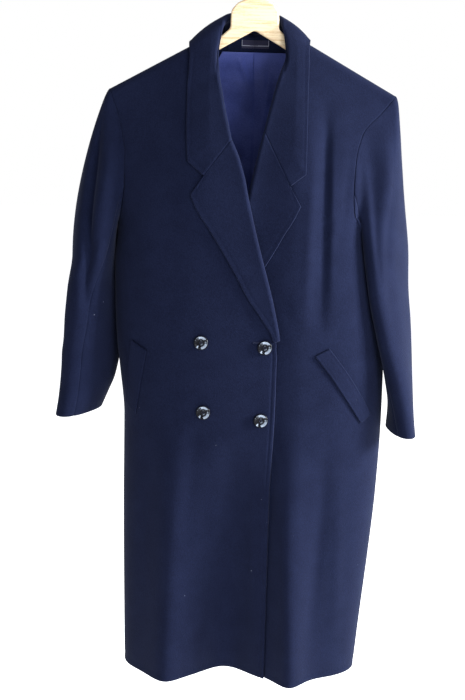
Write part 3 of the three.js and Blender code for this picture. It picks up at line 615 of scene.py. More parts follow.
    def inner_end(self, yoke: float, wearer: Wearer) -> float:
        """Where a row of a front meets its roll line or its front edge.

        Args:
            yoke: The row, as in row_z.
            wearer: Whose front it is.

        Returns:
            The distance across.
        """
        x = wearer.value * NECK_X
        for _ in range(MEETING_ROUNDS):
            z = float(self.row_z(yoke, np.array(x), Face.FRONT))
            x = float(self.roll[wearer](z))
        return x if z < ROLL_END_Z - 10 else x + wearer.value * 1.5


ROWS = np.concatenate([
    [0, 0.003], np.linspace(0.01, 0.09, 7), np.linspace(0.12, 1, 34)[:-2],
    [0.96, 0.973, 0.983, 0.99, 0.995, 0.998, 0.9993, 1],
    np.linspace(1, 2, 91)[1:-1], [1.994, 1.998, 2],
])
ARMPIT_ROW = int(np.argmin(np.abs(ROWS - 1)))
ARMHOLE_STEPS = (0, 0.008, 0.035, 0.09, 0.17, 0.28, 0.4, 0.52, 0.64, 0.76, 0.88, 1)
UNDER_SEAM_FRONT = 0.76
UNDER_SEAM_BACK = 0.4
FRONT_COLUMNS = np.concatenate([
    [0, 0.002], np.linspace(0.006, 0.038, 9), np.linspace(0.046, 0.985, 84), [0.993, 0.997, 1],
])
BACK_COLUMNS = np.concatenate([
    [0, 0.002, 0.005], np.linspace(0.01, 0.485, 62), np.linspace(0.489, 0.511, 12),
    np.linspace(0.515, 0.99, 62), [0.995, 0.998, 1],
])
CAP_STEPS = np.concatenate([[0, 0.01], np.linspace(0.03, 1, 30)])
ROLL_TURN = np.linspace(-np.pi / 2, np.pi / 2, 15)
LEAF_SHARES = np.concatenate([np.linspace(0.03, 0.9, 26), [0.93, 0.96, 0.98, 0.993, 1]])
STRIP_STEPS = np.linspace(1, 0.08, 7)


@dataclass
class Sheet:
    """A grid of outer points with its outward normals."""

    grid: np.ndarray
    normals: np.ndarray


def mesh_piece(name: str, verts: list, faces: list, material: Material) -> Object:
    """A smooth mesh object.

    Args:
        name: The piece's name.
        verts: Points in metres.
        faces: Corner numbers of each face.
        material: Its finish.

    Returns:
        The object.
    """
    mesh = bpy.data.meshes.new(name)
    mesh.from_pydata(verts, [], faces)
    mesh.polygons.foreach_set("use_smooth", [True] * len(mesh.polygons))
    mesh.materials.append(material)
    mesh.update()
    piece = bpy.data.objects.new(name, mesh)
    bpy.context.scene.collection.objects.link(piece)
    return piece


def outward(verts: np.ndarray, quads: np.ndarray) -> np.ndarray:
    """Turn the faces of a closed mesh out.

    Args:
        verts: Its points.
        quads: The four corner numbers of each face.

    Returns:
        The faces, reversed where they enclosed a negative volume.
    """
    a, b, c, d = (verts[quads[:, k]] for k in range(4))
    volume = np.sum(a * np.cross(b, c)) + np.sum(a * np.cross(c, d))
    return quads[:, ::-1] if volume < 0 else quads


def cloth_wall(
    name: str, outer: np.ndarray, inner: np.ndarray, material: Material, bulge: float = 0.3,
) -> Object:
    """A closed wall of cloth between two grids, with rounded edges.

    Args:
        name: The piece's name.
        outer: Outer points.
        inner: Inner points, in the same rows and columns.
        material: Its finish.
        bulge: How far the edge's middle stands out, as a share of the thickness.

    Returns:
        The object.
    """
    rows, cols = outer.shape[:2]
    ring = [(0, c) for c in range(cols)] + [(r, cols - 1) for r in range(1, rows)]
    ring += [(rows - 1, c) for c in range(cols - 2, -1, -1)] + [(r, 0) for r in range(rows - 2, 0, -1)]
    middle = []
    for r, c in ring:
        inside_r = min(max(r, 1), rows - 2)
        inside_c = min(max(c, 1), cols - 2)
        off = outer[r, c] - outer[inside_r, inside_c]
        thick = np.linalg.norm(outer[r, c] - inner[r, c])
        middle.append((outer[r, c] + inner[r, c]) / 2 + unit(off) * thick * bulge)
    verts = np.concatenate([outer.reshape(-1, 3), inner.reshape(-1, 3), np.array(middle)])
    number = np.arange(rows * cols).reshape(rows, cols)
    a, b, c, d = number[:-1, :-1], number[1:, :-1], number[1:, 1:], number[:-1, 1:]
    front = np.stack([a, b, c, d], -1).reshape(-1, 4)
    behind = np.stack([a, d, c, b], -1).reshape(-1, 4) + rows * cols
    rim = np.array([number[place] for place in ring])
    edge = 2 * rows * cols + np.arange(len(ring))
    rim_next, edge_next = np.roll(rim, -1), np.roll(edge, -1)
    upper = np.stack([rim, rim_next, edge_next, edge], -1)
    lower = np.stack([edge, edge_next, rim_next + rows * cols, rim + rows * cols], -1)
    quads = outward(verts, np.concatenate([front, behind, upper, lower]))
    piece = mesh_piece(name, (verts * MM).tolist(), quads.tolist(), material)
    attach(piece, BODY_NAME)
    return piece


def press_seams(sheet: Sheet, depth: float, columns: tuple) -> np.ndarray:
    """Outer points with the top edge and the sewn sides sunk a little, as pressed seams are.

    Args:
        sheet: The grid and its normals.
        depth: How far the very edge sinks.
        columns: The edge columns that sink, 0 for the first and -1 for the last.

    Returns:
        The moved points.
    """
    sink = np.zeros(sheet.grid.shape[:2])
    for step, share in ((0, 1.0), (1, 0.35)):
        sink[step] = np.maximum(sink[step], share)
        for column in columns:
            at = step if column == 0 else column - step
            sink[:, at] = np.maximum(sink[:, at], share)
    return sheet.grid - sheet.normals * (sink * depth)[..., None]


class Panels:
    """The two fronts and the back, as grids of outer points."""

    def __init__(self, form: CoatForm) -> None:
        """Make the three sheets.

        Args:
            form: The coat's form.
        """
        self.form = form
        self.fronts = {wearer: self._front(wearer) for wearer in Wearer}
        self.back = self._back()

    def _front(self, wearer: Wearer) -> Sheet:
        """One front, from its inner edge to its armhole and side seam.

        Args:
            wearer: Whose side it is on.

        Returns:
            The sheet.
        """
        rows = []
        for yoke in ROWS:
            start = self.form.inner_end(yoke, wearer)
            span = self.form.outer_end(yoke, wearer, Face.FRONT) - start

            def curve(t: np.ndarray, ends: tuple = (start, span), yoke: float = yoke) -> np.ndarray:
                """Points along the row."""
                x = ends[0] + ends[1] * t
                return self.form.front(wearer, x, self.form.row_z(yoke, x, Face.FRONT))

            rows.append(even_steps(curve, FRONT_COLUMNS))
        return self._sewn(np.array(rows), Face.FRONT, (-1,))

    def _back(self) -> Sheet:
        """The back, from the right side seam to the left one.

        Returns:
            The sheet.
        """
        rows = []
        for yoke in ROWS:
            start = self.form.outer_end(yoke, Wearer.RIGHT, Face.BACK)
            span = self.form.outer_end(yoke, Wearer.LEFT, Face.BACK) - start

            def curve(t: np.ndarray, ends: tuple = (start, span), yoke: float = yoke) -> np.ndarray:
                """Points along the row."""
                x = ends[0] + ends[1] * t
                return self.form.surface(Face.BACK, x, self.form.row_z(yoke, x, Face.BACK))

            rows.append(even_steps(curve, BACK_COLUMNS))
        return self._sewn(np.array(rows), Face.BACK, (0, -1))

    def _sewn(self, grid: np.ndarray, face: Face, sides: tuple) -> Sheet:
        """Turn the normals out and lay the seam edges in the plane of their seam.

        Args:
            grid: The outer points.
            face: Front or back.
            sides: Columns that lie on a side seam.

        Returns:
            The sheet.
        """
        normals = grid_normals(grid)
        if normals[-3, grid.shape[1] // 2, 1] * face.sign < 0:
            normals = -normals
        seam = np.zeros(grid.shape[:2], bool)
        seam[0] = np.abs(grid[0, :, 0]) > NECK_X - 2
        for column in sides:
            seam[ARMPIT_ROW:, column] = True
        grid[seam, 1] += face.sign * SEAM_GAP / 2
        normals[seam, 1] = 0
        return Sheet(grid, unit(normals))

    def edge_distance(self, wearer: Wearer) -> np.ndarray:
        """Distance of each point of a front from its inner edge, along its row.

        Args:
            wearer: Whose front it is.

        Returns:
            The distances, as rows and columns.
        """
        grid = self.fronts[wearer].grid
        steps = np.linalg.norm(np.diff(grid, axis=1), axis=2)
        return np.concatenate([np.zeros((len(grid), 1)), np.cumsum(steps, axis=1)], axis=1)

    def armhole_loop(self, wearer: Wearer) -> tuple:
        """The armhole from the shoulder down the front and up the back.

        Args:
            wearer: Whose side it is on.

        Returns:
            Its points, the way off the body, the way to the inside of the wall, and
            the share of the way round.
        """
        column, inside = (0, 1) if wearer is Wearer.RIGHT else (-1, -2)
        fore = self._armhole_edge(self.fronts[wearer], -1, -2)
        aft = self._armhole_edge(self.back, column, inside)
        loop = [np.concatenate([f, a[:-1][::-1]]) for f, a in zip(fore, aft)]
        level = np.interp(ROWS[: ARMPIT_ROW + 1], ARMHOLE_STEPS, np.linspace(0, 0.5, len(ARMHOLE_STEPS)))
        return loop[0], loop[1], loop[2], np.concatenate([level, 1 - level[:-1][::-1]])

    def _armhole_edge(self, sheet: Sheet, column: int, inside: int) -> tuple:
        """The armhole edge of one panel with its directions.

        Args:
            sheet: The panel.
            column: The edge column.
            inside: The column next to it.

        Returns:
            Points, the way off the panel, and the way into the wall.
        """
        rows = np.arange(ARMPIT_ROW + 1)
        point = sheet.grid[rows, column]
        across = unit(point - sheet.grid[rows, inside])
        normal = sheet.normals[rows, column]
        lean = (np.pi / 2 * smoothstep(0.5, 1, ROWS[rows]))[:, None]
        up = unit(sheet.grid[np.maximum(rows - 1, 0), column] - sheet.grid[rows + 1, column])
        off = unit(across * np.cos(lean) + normal * np.sin(lean))
        inner = -normal * np.cos(lean) + up * np.sin(lean)
        inner = unit(inner - off * np.sum(inner * off, axis=1, keepdims=True))
        return point, off, inner


class SleeveForm:
    """One sleeve as a ring of columns that starts against the armhole."""

    def __init__(self, wearer: Wearer, panels: Panels) -> None:
        """Loft the columns from the armhole into the hanging tube.

        Args:
            wearer: Whose arm it is for.
            panels: The body that it is sewn to.
        """
        self.wearer = wearer
        table = SLEEVE_RIGHT if wearer is Wearer.RIGHT else SLEEVE_LEFT
        self.track = {name: Track(table, name) for name in ("x", "y", "half", "breadth", "turn")}
        edge, off, self.inner_way, even = panels.armhole_loop(wearer)
        length = np.concatenate([[0], np.cumsum(np.linalg.norm(np.diff(edge, axis=0), axis=1))])
        self.share = (even + length / length[-1]) / 2
        begin = edge + off * SEAM_GAP
        first = self.section(table[0].z)
        low = 1 - np.abs(1 - 2 * even)
        ease = CAP_LEAVES + (CAP_LEAVES_UNDERARM - CAP_LEAVES) * smoothstep(0.5, 1, low)
        leave = off * ease[:, None]
        reach = np.linalg.norm(first - begin, axis=1, keepdims=True)
        arrive = unit(self.section(table[1].z) - first) * reach * 0.9
        t = CAP_STEPS[:, None, None]
        cap = (
            begin * (2 * t**3 - 3 * t**2 + 1) + leave * (t**3 - 2 * t**2 + t)
            + first * (3 * t**2 - 2 * t**3) + arrive * (t**3 - t**2)
        )
        heights = np.concatenate([np.linspace(table[0].z, table[-1].z + 1.5, 44)[1:], [table[-1].z]])
        tube = np.array([self.section(z) for z in heights])
        self.grid = np.concatenate([cap, tube])
        self.normals = self._outward(self.grid)
        self.grid = self.grid + self.normals * self._creases()[..., None]
        self.normals = self._outward(self.grid)

    def section(self, z: float) -> np.ndarray:
        """Points of the ring at a height.

        Args:
            z: The height.

        Returns:
            The points.
        """
        x, y, half, breadth, turn = (self.track[n](z) for n in ("x", "y", "half", "breadth", "turn"))
        angle = self.share * 2 * np.pi
        turn = np.radians(turn)
        out = half * np.sign(np.cos(angle)) * np.abs(np.cos(angle)) ** (2 / SLEEVE_POWER)
        fore = breadth * np.sign(np.sin(angle)) * np.abs(np.sin(angle)) ** (2 / SLEEVE_POWER)
        sign = self.wearer.value
        return points(
            x + sign * (out * np.cos(turn) - fore * np.sin(turn)),
            y - out * np.sin(turn) - fore * np.cos(turn), np.array(z, float),
        )

    def _outward(self, grid: np.ndarray) -> np.ndarray:
        """Normals of the ring, turned away from its middle.

        Args:
            grid: The ring's points at every height.

        Returns:
            The normals.
        """
        normals = grid_normals(grid, wrap=True)
        row = int(len(grid) * 0.8)
        middle = grid[row].mean(axis=0)
        if np.sum(normals[row] * (grid[row] - middle)) < 0:
            normals = -normals
        return normals

    def _creases(self) -> np.ndarray:
        """How far the creases move each point of the ring.

        Returns:
            The distances outwards.
        """
        z = self.grid[..., 2]
        out = np.zeros(z.shape)
        for crease in SLEEVE_CREASES[self.wearer]:
            t = (crease.z0 - z) / (crease.z0 - crease.z1)
            at = crease.share0 + (crease.share1 - crease.share0) * t
            apart = (self.share[None, :] - at + 0.5) % 1 - 0.5
            fade = np.sin(np.pi * np.clip(t, 0, 1)) ** 1.2
            out += crease.out * fade * ridge(apart, 0, crease.width)
        away = smoothstep(0, 0.25, np.linspace(0, len(z) / len(CAP_STEPS), len(z)))[:, None]
        return out * away

    def run(self, columns: list[int]) -> tuple[np.ndarray, np.ndarray]:
        """One piece of the sleeve.

        Args:
            columns: The ring's columns that it takes.

        Returns:
            Its outer and inner points.
        """
        outer = self.grid[:, columns].copy()
        inner = outer - self.normals[:, columns] * WOOL
        inner[0] = outer[0] + self.inner_way[columns] * WOOL
        for layer in (outer, inner):
            layer[:, 0] += unit(layer[:, 1] - layer[:, 0]) * SEAM_GAP / 2
            layer[:, -1] += unit(layer[:, -2] - layer[:, -1]) * SEAM_GAP / 2
        return outer, inner


class FoldForm:
    """Lapels and collar: a leaf on the panel, a round roll and a strip inside it."""

    def __init__(self, form: CoatForm) -> None:
        """Keep the body's form."""
        self.form = form

    def front_row(self, wearer: Wearer, roll: Sequence, edge: Sequence, strip: float) -> np.ndarray:
        """One row of middle points where the leaf lies on a front.

        Args:
            wearer: Whose front it is.
            roll: x and z of the roll line.
            edge: x and z of the outline.
            strip: How far the cloth goes back inside the roll.

        Returns:
            The row's points.
        """
        run = np.array([edge[0] - roll[0], edge[1] - roll[1]], float)
        width = float(np.hypot(*run))
        run /= width
        strip = min(strip, width)
        q = np.concatenate([strip * STRIP_STEPS, -ROLL_RADIUS * np.cos(ROLL_TURN), width * LEAF_SHARES])
        leaf = LEAF_REST + (ROLL_RADIUS - LEAF_REST) * np.exp(-width * LEAF_SHARES / 14)
        inside = np.full(len(STRIP_STEPS), -ROLL_RADIUS)
        out = np.concatenate([inside, ROLL_RADIUS * np.sin(ROLL_TURN), leaf])
        x, z = roll[0] + run[0] * q, roll[1] + run[1] * q
        row = self.form.front(wearer, x, z)
        rise = (self.form.front(wearer, x, z + 2)[:, 1] - row[:, 1]) / 2
        aside = (self.form.front(wearer, x + 2, z)[:, 1] - row[:, 1]) / 2
        row[:, 1] -= out * np.minimum(np.sqrt(1 + rise**2 + aside**2), 2.2)
        return row

    def neck_row(self, roll: np.ndarray, edge: np.ndarray, foot: np.ndarray) -> np.ndarray:
        """One row of middle points where the collar goes round the neck.

        Args:
            roll: The row's point on the roll.
            edge: Its point on the collar's edge.
            foot: Its point on the neck seam.

        Returns:
            The row's points.
        """
        along = unit(edge - roll)
        rise = foot - roll
        off = -unit(rise - along * np.dot(rise, along))
        turn = roll - ROLL_RADIUS * np.outer(np.cos(ROLL_TURN), along)
        turn = turn + ROLL_RADIUS * np.outer(np.sin(ROLL_TURN), off)
        stand = foot + np.outer(1 - STRIP_STEPS, roll - off * ROLL_RADIUS - foot)
        out = ROLL_RADIUS + (LEAF_REST - ROLL_RADIUS) * smoothstep(0, 1, LEAF_SHARES)
        out = out + 4 * np.sin(np.pi * LEAF_SHARES)
        width = np.linalg.norm(edge - roll)
        leaf = roll + np.outer(width * LEAF_SHARES, along) + np.outer(out, off)
        return np.concatenate([stand, turn, self.clear_of_body(leaf)])

    def clear_of_body(self, leaf: np.ndarray) -> np.ndarray:
        """Move points over the shoulders off the body where they would touch it.

        Args:
            leaf: A row's points on the leaf.

        Returns:
            The moved points.
        """
        low = leaf[:, 2] <= self.form.shoulder_z(leaf[:, 0], Face.FRONT) + LEAF_REST
        x, z = leaf[:, 0], leaf[:, 2]
        front = np.where(
            x < 0, self.form.front(Wearer.RIGHT, x, z)[:, 1], self.form.front(Wearer.LEFT, x, z)[:, 1]
        )
        back = self.form.surface(Face.BACK, x, z)[:, 1]
        before = np.minimum(leaf[:, 1], front - LEAF_REST * 2)
        behind = np.maximum(leaf[:, 1], back + LEAF_REST * 2)
        leaf[:, 1] = np.where(low, np.where(leaf[:, 1] < 0, before, behind), leaf[:, 1])
        return leaf

    def lapel(self, wearer: Wearer) -> np.ndarray:
        """The middle surface of a lapel.

        Args:
            wearer: Whose side it is on.

        Returns:
            The points, a row for each line across the lapel.
        """
        table = LAPEL_RIGHT if wearer is Wearer.RIGHT else LAPEL_LEFT
        track = self.form.roll[wearer]
        rows = []
        for r in table:
            rows.append(self.front_row(wearer, (float(track(r.roll)), r.roll), (r.x, r.z), LAPEL_STRIP))
        return smooth_rows(np.array(rows), ROW_STEPS, (LAPEL_POINT_ROW,))

    def collar(self) -> np.ndarray:
        """The middle surface of the collar, from the right gorge round to the left one.

        Returns:
            The points, a row for each line across the collar.
        """
        right = [self.front_row(Wearer.RIGHT, (r.rx, r.rz), (r.ex, r.ez), r.strip) for r in COLLAR_RIGHT]
        left = [self.front_row(Wearer.LEFT, (r.rx, r.rz), (r.ex, r.ez), r.strip) for r in COLLAR_LEFT]
        for rows, sign, narrow in ((right, -1, 1.0), (left, 1, COLLAR_LEFT_SHARE)):
            for r in COLLAR_NECK:
                roll = np.array([sign * r.rx * (narrow + (1 - narrow) * 0.35), r.ry, r.rz])
                edge = np.array([sign * r.ex * narrow, r.ey, r.ez + (1 - narrow) * 60])
                rows.append(self.neck_row(roll, edge, np.array([sign * r.bx, r.by, r.bz])))
        c = COLLAR_CENTRE
        places = (np.array(place) for place in ((c.rx, c.ry, c.rz), (c.ex, c.ey, c.ez), (c.bx, c.by, c.bz)))
        rows = [*right, self.neck_row(*places), *left[::-1]]
        return smooth_rows(np.array(rows), ROW_STEPS, (COLLAR_TIP_ROW, len(rows) - 1 - COLLAR_TIP_ROW))


def smooth_rows(grid: np.ndarray, count: int, corners: Sequence[int]) -> np.ndarray:
    """A grid with rows added between its rows, smooth but for the corner rows.

    Args:
        grid: The rows.
        count: Steps between one row and the next.
        corners: Rows at which the outline has a corner.

    Returns:
        The dense grid.
    """
    stops = sorted({0, len(grid) - 1, *corners})
    parts = []
    for low, high in zip(stops[:-1], stops[1:]):
        part = grid[low:high + 1]
        step = np.diff(part, axis=0)
        slope = np.empty_like(part)
        slope[0], slope[-1] = step[0], step[-1]
        both = 2 * step[:-1] * step[1:]
        total = step[:-1] + step[1:]
        safe = np.where(np.abs(total) > 1e-9, total, 1)
        slope[1:-1] = np.where(both > 0, both / safe, 0)
        t = (np.arange(count) / count)[None, :, None, None]
        a, b = part[:-1, None], part[1:, None]
        ma, mb = slope[:-1, None], slope[1:, None]
        dense = (2 * t**3 - 3 * t**2 + 1) * a + (t**3 - 2 * t**2 + t) * ma
        dense = dense + (3 * t**2 - 2 * t**3) * b + (t**3 - t**2) * mb
        parts.append(dense.reshape(-1, *grid.shape[1:]))
    return np.concatenate([*parts, grid[-1:]])


@dataclass(frozen=True)
class WoolLook:
    """Navy melton: colours, nap and the scale of its fibres."""

    dark: tuple = (0.0029, 0.0049, 0.0188, 1)
    light: tuple = (0.0068, 0.0104, 0.0325, 1)
    lint: tuple = (0.20, 0.22, 0.30, 1)
    sheen: float = 0.065
    roughness: float = 0.93


@dataclass(frozen=True)
class SatinLook:
    """Indigo lining satin."""

    dark: tuple = (0.028, 0.042, 0.175, 1)
    light: tuple = (0.070, 0.094, 0.325, 1)
    roughness: float = 0.38


@dataclass(frozen=True)
class HornLook:
    """Dark polished buttons, with a pale colour painted in as their highlights."""

    dark: tuple = (0.004, 0.0045, 0.007, 1)
    # painted highlight colour: pale arcs laid into the base colour where the buttons should catch light
    painted_glint: tuple = (0.34, 0.40, 0.50, 1)
    roughness: float = 0.22


@dataclass(frozen=True)
class WoodLook:
    """Pale lacquered beech."""

    pale: tuple = (0.80, 0.66, 0.45, 1)
    grain: tuple = (0.60, 0.43, 0.24, 1)
    roughness: float = 0.42


@dataclass(frozen=True)
class Surface:
    """How a material lies over its effect group: colours, relief, nap and polish."""

    dark: tuple
    light: tuple
    bump: float
    distance: float
    sheen: float = 0.0
    coat: float = 0.0
    metallic: float = 0.0


class NodeBuilder:
    """Adds nodes and links to a tree."""

    def __init__(self, tree: NodeTree) -> None:
        """Keep the tree."""
        self.tree = tree

    def add(self, kind: str, inputs: dict | None = None, **settings: object) -> Node:
        """Add a node.

        Args:
            kind: The node's class name.
            inputs: Values or sockets for its inputs, by name or number.
            **settings: The node's own properties.

        Returns:
            The node.
        """
        node = self.tree.nodes.new(kind)
        for name, value in settings.items():
            setattr(node, name, value)
        for name, value in (inputs or {}).items():
            if isinstance(value, NodeSocket):
                self.tree.links.new(value, node.inputs[name])
            else:
                node.inputs[name].default_value = value
        return node

    def noise(self, place: NodeSocket, scale: float, detail: float = 3.0) -> NodeSocket:
        """A noise value over a place."""
        node = self.add("ShaderNodeTexNoise", {"Vector": place, "Scale": scale, "Detail": detail})
        return node.outputs[0]

    def ramp(self, value: NodeSocket, low: float, high: float) -> NodeSocket:
        """A value spread smoothly from 0 at low to 1 at high."""
        node = self.add(
            "ShaderNodeMapRange", {"Value": value, "From Min": low, "From Max": high},
            interpolation_type="SMOOTHSTEP",
        )
        return node.outputs[0]

    def blend(self, factor: object, a: object, b: object) -> NodeSocket:
        """A colour mixed from a to b.

        Args:
            factor: The share of b, a value or a socket.
            a: The first colour or its socket.
            b: The second colour or its socket.

        Returns:
            The mixed colour's socket.
        """
        node = self.add("ShaderNodeMix", data_type="RGBA")
        for number, value in ((0, factor), (6, a), (7, b)):
            if isinstance(value, NodeSocket):
                self.tree.links.new(value, node.inputs[number])
            else:
                node.inputs[number].default_value = value
        return node.outputs[2]

    def math(self, operation: str, a: object, b: object = 0.0) -> NodeSocket:
        """A sum, product or other operation."""
        return self.add("ShaderNodeMath", {0: a, 1: b}, operation=operation).outputs[0]


class EffectGroup:
    """A node group that gives a colour, a roughness and a height over a place."""

    def __init__(self, name: str) -> None:
        """Make the group with its named inputs and outputs.

        Args:
            name: The group's name.
        """
        self.tree = bpy.data.node_groups.new(name, "ShaderNodeTree")
        self.tree.interface.new_socket(name="Vector", in_out="INPUT", socket_type="NodeSocketVector")
        self.tree.interface.new_socket(name="Dark", in_out="INPUT", socket_type="NodeSocketColor")
        self.tree.interface.new_socket(name="Light", in_out="INPUT", socket_type="NodeSocketColor")
        self.tree.interface.new_socket(name="Color", in_out="OUTPUT", socket_type="NodeSocketColor")
        self.tree.interface.new_socket(name="Roughness", in_out="OUTPUT", socket_type="NodeSocketFloat")
        self.tree.interface.new_socket(name="Height", in_out="OUTPUT", socket_type="NodeSocketFloat")
        self.build = NodeBuilder(self.tree)
        self.inputs = self.build.add("NodeGroupInput").outputs
        self.outputs = self.build.add("NodeGroupOutput").inputs

    def close(self, color: object, roughness: object, height: object) -> None:
        """Join the results to the outputs."""
        for name, value in (("Color", color), ("Roughness", roughness), ("Height", height)):
            self.tree.links.new(value, self.outputs[name])


class Finishes:
    """Every material of the coat."""

    def __init__(self) -> None:
        """Make the shared groups and the materials."""
        wool, satin, horn, wood = WoolLook(), SatinLook(), HornLook(), WoodLook()
        felt, threads = self._wool_group(wool), self._satin_group(satin)
        horn_glint, grain = self._horn_group(horn), self._wood_group(wood)
        self.wool = self._material(
            "navy_melton", felt, Surface(wool.dark, wool.light, 0.55, 0.0011, wool.sheen),
        )
        self.satin = self._material(
            "indigo_satin", threads, Surface(satin.dark, satin.light, 0.25, 0.0006, 0.08),
        )
        self.label = self._material(
            "label_satin", threads,
            Surface((0.011, 0.012, 0.028, 1), (0.03, 0.03, 0.06, 1), 0.3, 0.0004, 0.05),
        )
        self.label_edge = self._material(
            "label_border", threads, Surface((0.13, 0.135, 0.18, 1), (0.26, 0.27, 0.34, 1), 0.3, 0.0004),
        )
        # the horn's light colour is its painted highlight
        self.horn = self._material(
            "polished_horn", horn_glint, Surface(horn.dark, horn.painted_glint, 0.06, 0.0003, coat=0.02),
        )
        self.thread = self._material(
            "navy_thread", threads,
            Surface((0.010, 0.013, 0.034, 1), (0.03, 0.036, 0.075, 1), 0.3, 0.0003, 0.1),
        )
        self.wood = self._material(
            "pale_beech", grain, Surface(wood.grain, wood.pale, 0.12, 0.0004, coat=0.35),
        )
        # the wire uses the horn group, so it carries the same painted highlight pattern
        self.wire = self._material(
            "plated_wire", horn_glint,
            Surface((0.62, 0.62, 0.64, 1), (0.78, 0.78, 0.80, 1), 0.05, 0.0002, metallic=1.0),
        )

    def _material(self, name: str, group: NodeTree, surface: Surface) -> Material:
        """A material whose colour, roughness and bump come from a group.

        Args:
            name: The material's name.
            group: The effect group.
            surface: Its colours, relief, nap and polish.

        Returns:
            The material.
        """
        material = bpy.data.materials.new(name)
        material.use_nodes = True
        material.diffuse_color = surface.light
        link = material.node_tree.links.new
        shader = material.node_tree.nodes["Principled BSDF"]
        build = NodeBuilder(material.node_tree)
        place = build.add("ShaderNodeTexCoord").outputs["Object"]
        effect = build.add("ShaderNodeGroup", node_tree=group)
        link(place, effect.inputs["Vector"])
        effect.inputs["Dark"].default_value = surface.dark
        effect.inputs["Light"].default_value = surface.light
        relief = build.add("ShaderNodeBump", {
            "Strength": surface.bump, "Distance": surface.distance, "Height": effect.outputs["Height"],
        })
        link(effect.outputs["Color"], shader.inputs["Base Color"])
        link(effect.outputs["Roughness"], shader.inputs["Roughness"])
        link(relief.outputs["Normal"], shader.inputs["Normal"])
        for socket, value in (
            ("Sheen Weight", surface.sheen), ("Sheen Roughness", 0.45), ("Sheen Tint", SHEEN_TINT),
            ("Coat Weight", surface.coat), ("Coat Roughness", 0.12), ("Metallic", surface.metallic),
            ("Specular IOR Level", POLISHED_SPECULAR if surface.coat else CLOTH_SPECULAR),
        ):
            shader.inputs[socket].default_value = value
        return material

    def _wool_group(self, look: WoolLook) -> NodeTree:
        """Felted wool: cloudy colour, short fibres, and a few specks of lint.

        Args:
            look: The wool's colours and nap.

        Returns:
            The group.
        """
        group = EffectGroup("felted_wool")
        build, place = group.build, group.inputs["Vector"]
        cloud = build.noise(place, 26.0, 4.0)
        stretched = build.add("ShaderNodeMapping", {"Vector": place, "Scale": (1.0, 1.0, 0.35)}).outputs[0]
        fibre = build.noise(stretched, 1500.0, 2.0)
        tuft = build.noise(place, 420.0, 3.0)
        mixed = build.math("ADD", build.math("MULTIPLY", cloud, 0.2), build.math("MULTIPLY", tuft, 0.45))
        mixed = build.math("ADD", mixed, build.math("MULTIPLY", fibre, 0.35))
        color = build.blend(build.ramp(mixed, 0.36, 0.66), group.inputs["Dark"], group.inputs["Light"])
        cell = build.add("ShaderNodeTexVoronoi", {"Vector": place, "Scale": 62.0, "Randomness": 1.0})
        near = build.ramp(cell.outputs["Distance"], 0.075, 0.03)
        rare = build.ramp(build.noise(place, 31.0, 1.0), 0.66, 0.70)
        specks = build.math("MULTIPLY", build.math("MULTIPLY", near, rare), 0.8)
        color = build.blend(specks, color, look.lint)
        roughness = build.math("ADD", build.math("MULTIPLY", tuft, 0.1), look.roughness - 0.05)
        height = build.math("ADD", build.math("MULTIPLY", fibre, 0.45), build.math("MULTIPLY", tuft, 0.55))
        height = build.math("ADD", height, build.math("MULTIPLY", cloud, 0.35))
        group.close(color, roughness, height)
        return group.tree

    def _satin_group(self, look: SatinLook) -> NodeTree:
        """Satin: fine threads along the cloth and a soft cloudy shine.

        Args:
            look: The satin's colours and shine.

        Returns:
            The group.
        """
        group = EffectGroup("satin_threads")
        build, place = group.build, group.inputs["Vector"]
        weft = build.add("ShaderNodeMapping", {"Vector": place, "Scale": (0.18, 1.0, 1.0)}).outputs[0]
        thread = build.noise(weft, 1900.0, 2.0)
        cloud = build.noise(place, 14.0, 3.0)
        value = build.math("ADD", build.math("MULTIPLY", thread, 0.4), build.math("MULTIPLY", cloud, 0.6))
        color = build.blend(build.ramp(value, 0.35, 0.65), group.inputs["Dark"], group.inputs["Light"])
        roughness = build.math("ADD", build.math("MULTIPLY", thread, 0.16), look.roughness - 0.08)
        group.close(color, roughness, thread)
        return group.tree

    def _horn_group(self, look: HornLook) -> NodeTree:
        """Polished horn: a dark face with painted highlights in broken arcs on a ring and in a spot at its
        centre, and fine scratches.

        Args:
            look: The horn's colours and polish.

        Returns:
            The group.
        """
        group = EffectGroup("horn_painted_glint")
        build, place = group.build, group.inputs["Vector"]
        part = build.add("ShaderNodeSeparateXYZ", {"Vector": place}).outputs
        square = build.math("ADD", build.math("POWER", part[0], 2.0), build.math("POWER", part[1], 2.0))
        radius = build.math("SQRT", square)
        rise, fall = build.ramp(radius, 0.0062, 0.0092), build.ramp(radius, 0.0122, 0.0112)
        ring = build.math("MULTIPLY", rise, fall)
        # noise that breaks the painted highlight into arcs
        painted_glint = build.noise(place, 130.0, 3.0)
        # painted highlight spot at the centre of the face
        centre_glint = build.math("MULTIPLY", build.ramp(radius, 0.0052, 0.0030), 0.55)
        # painted highlight: the pale colour goes in broken arcs on the ring and in the centre spot
        shine = build.math("MULTIPLY", build.math("ADD", ring, centre_glint), build.ramp(painted_glint, 0.50, 0.57))
        scratch = build.noise(place, 900.0, 2.0)
        color = build.blend(shine, group.inputs["Dark"], group.inputs["Light"])
        roughness = build.math("ADD", build.math("MULTIPLY", scratch, 0.12), look.roughness - 0.04)
        group.close(color, roughness, scratch)
        return group.tree

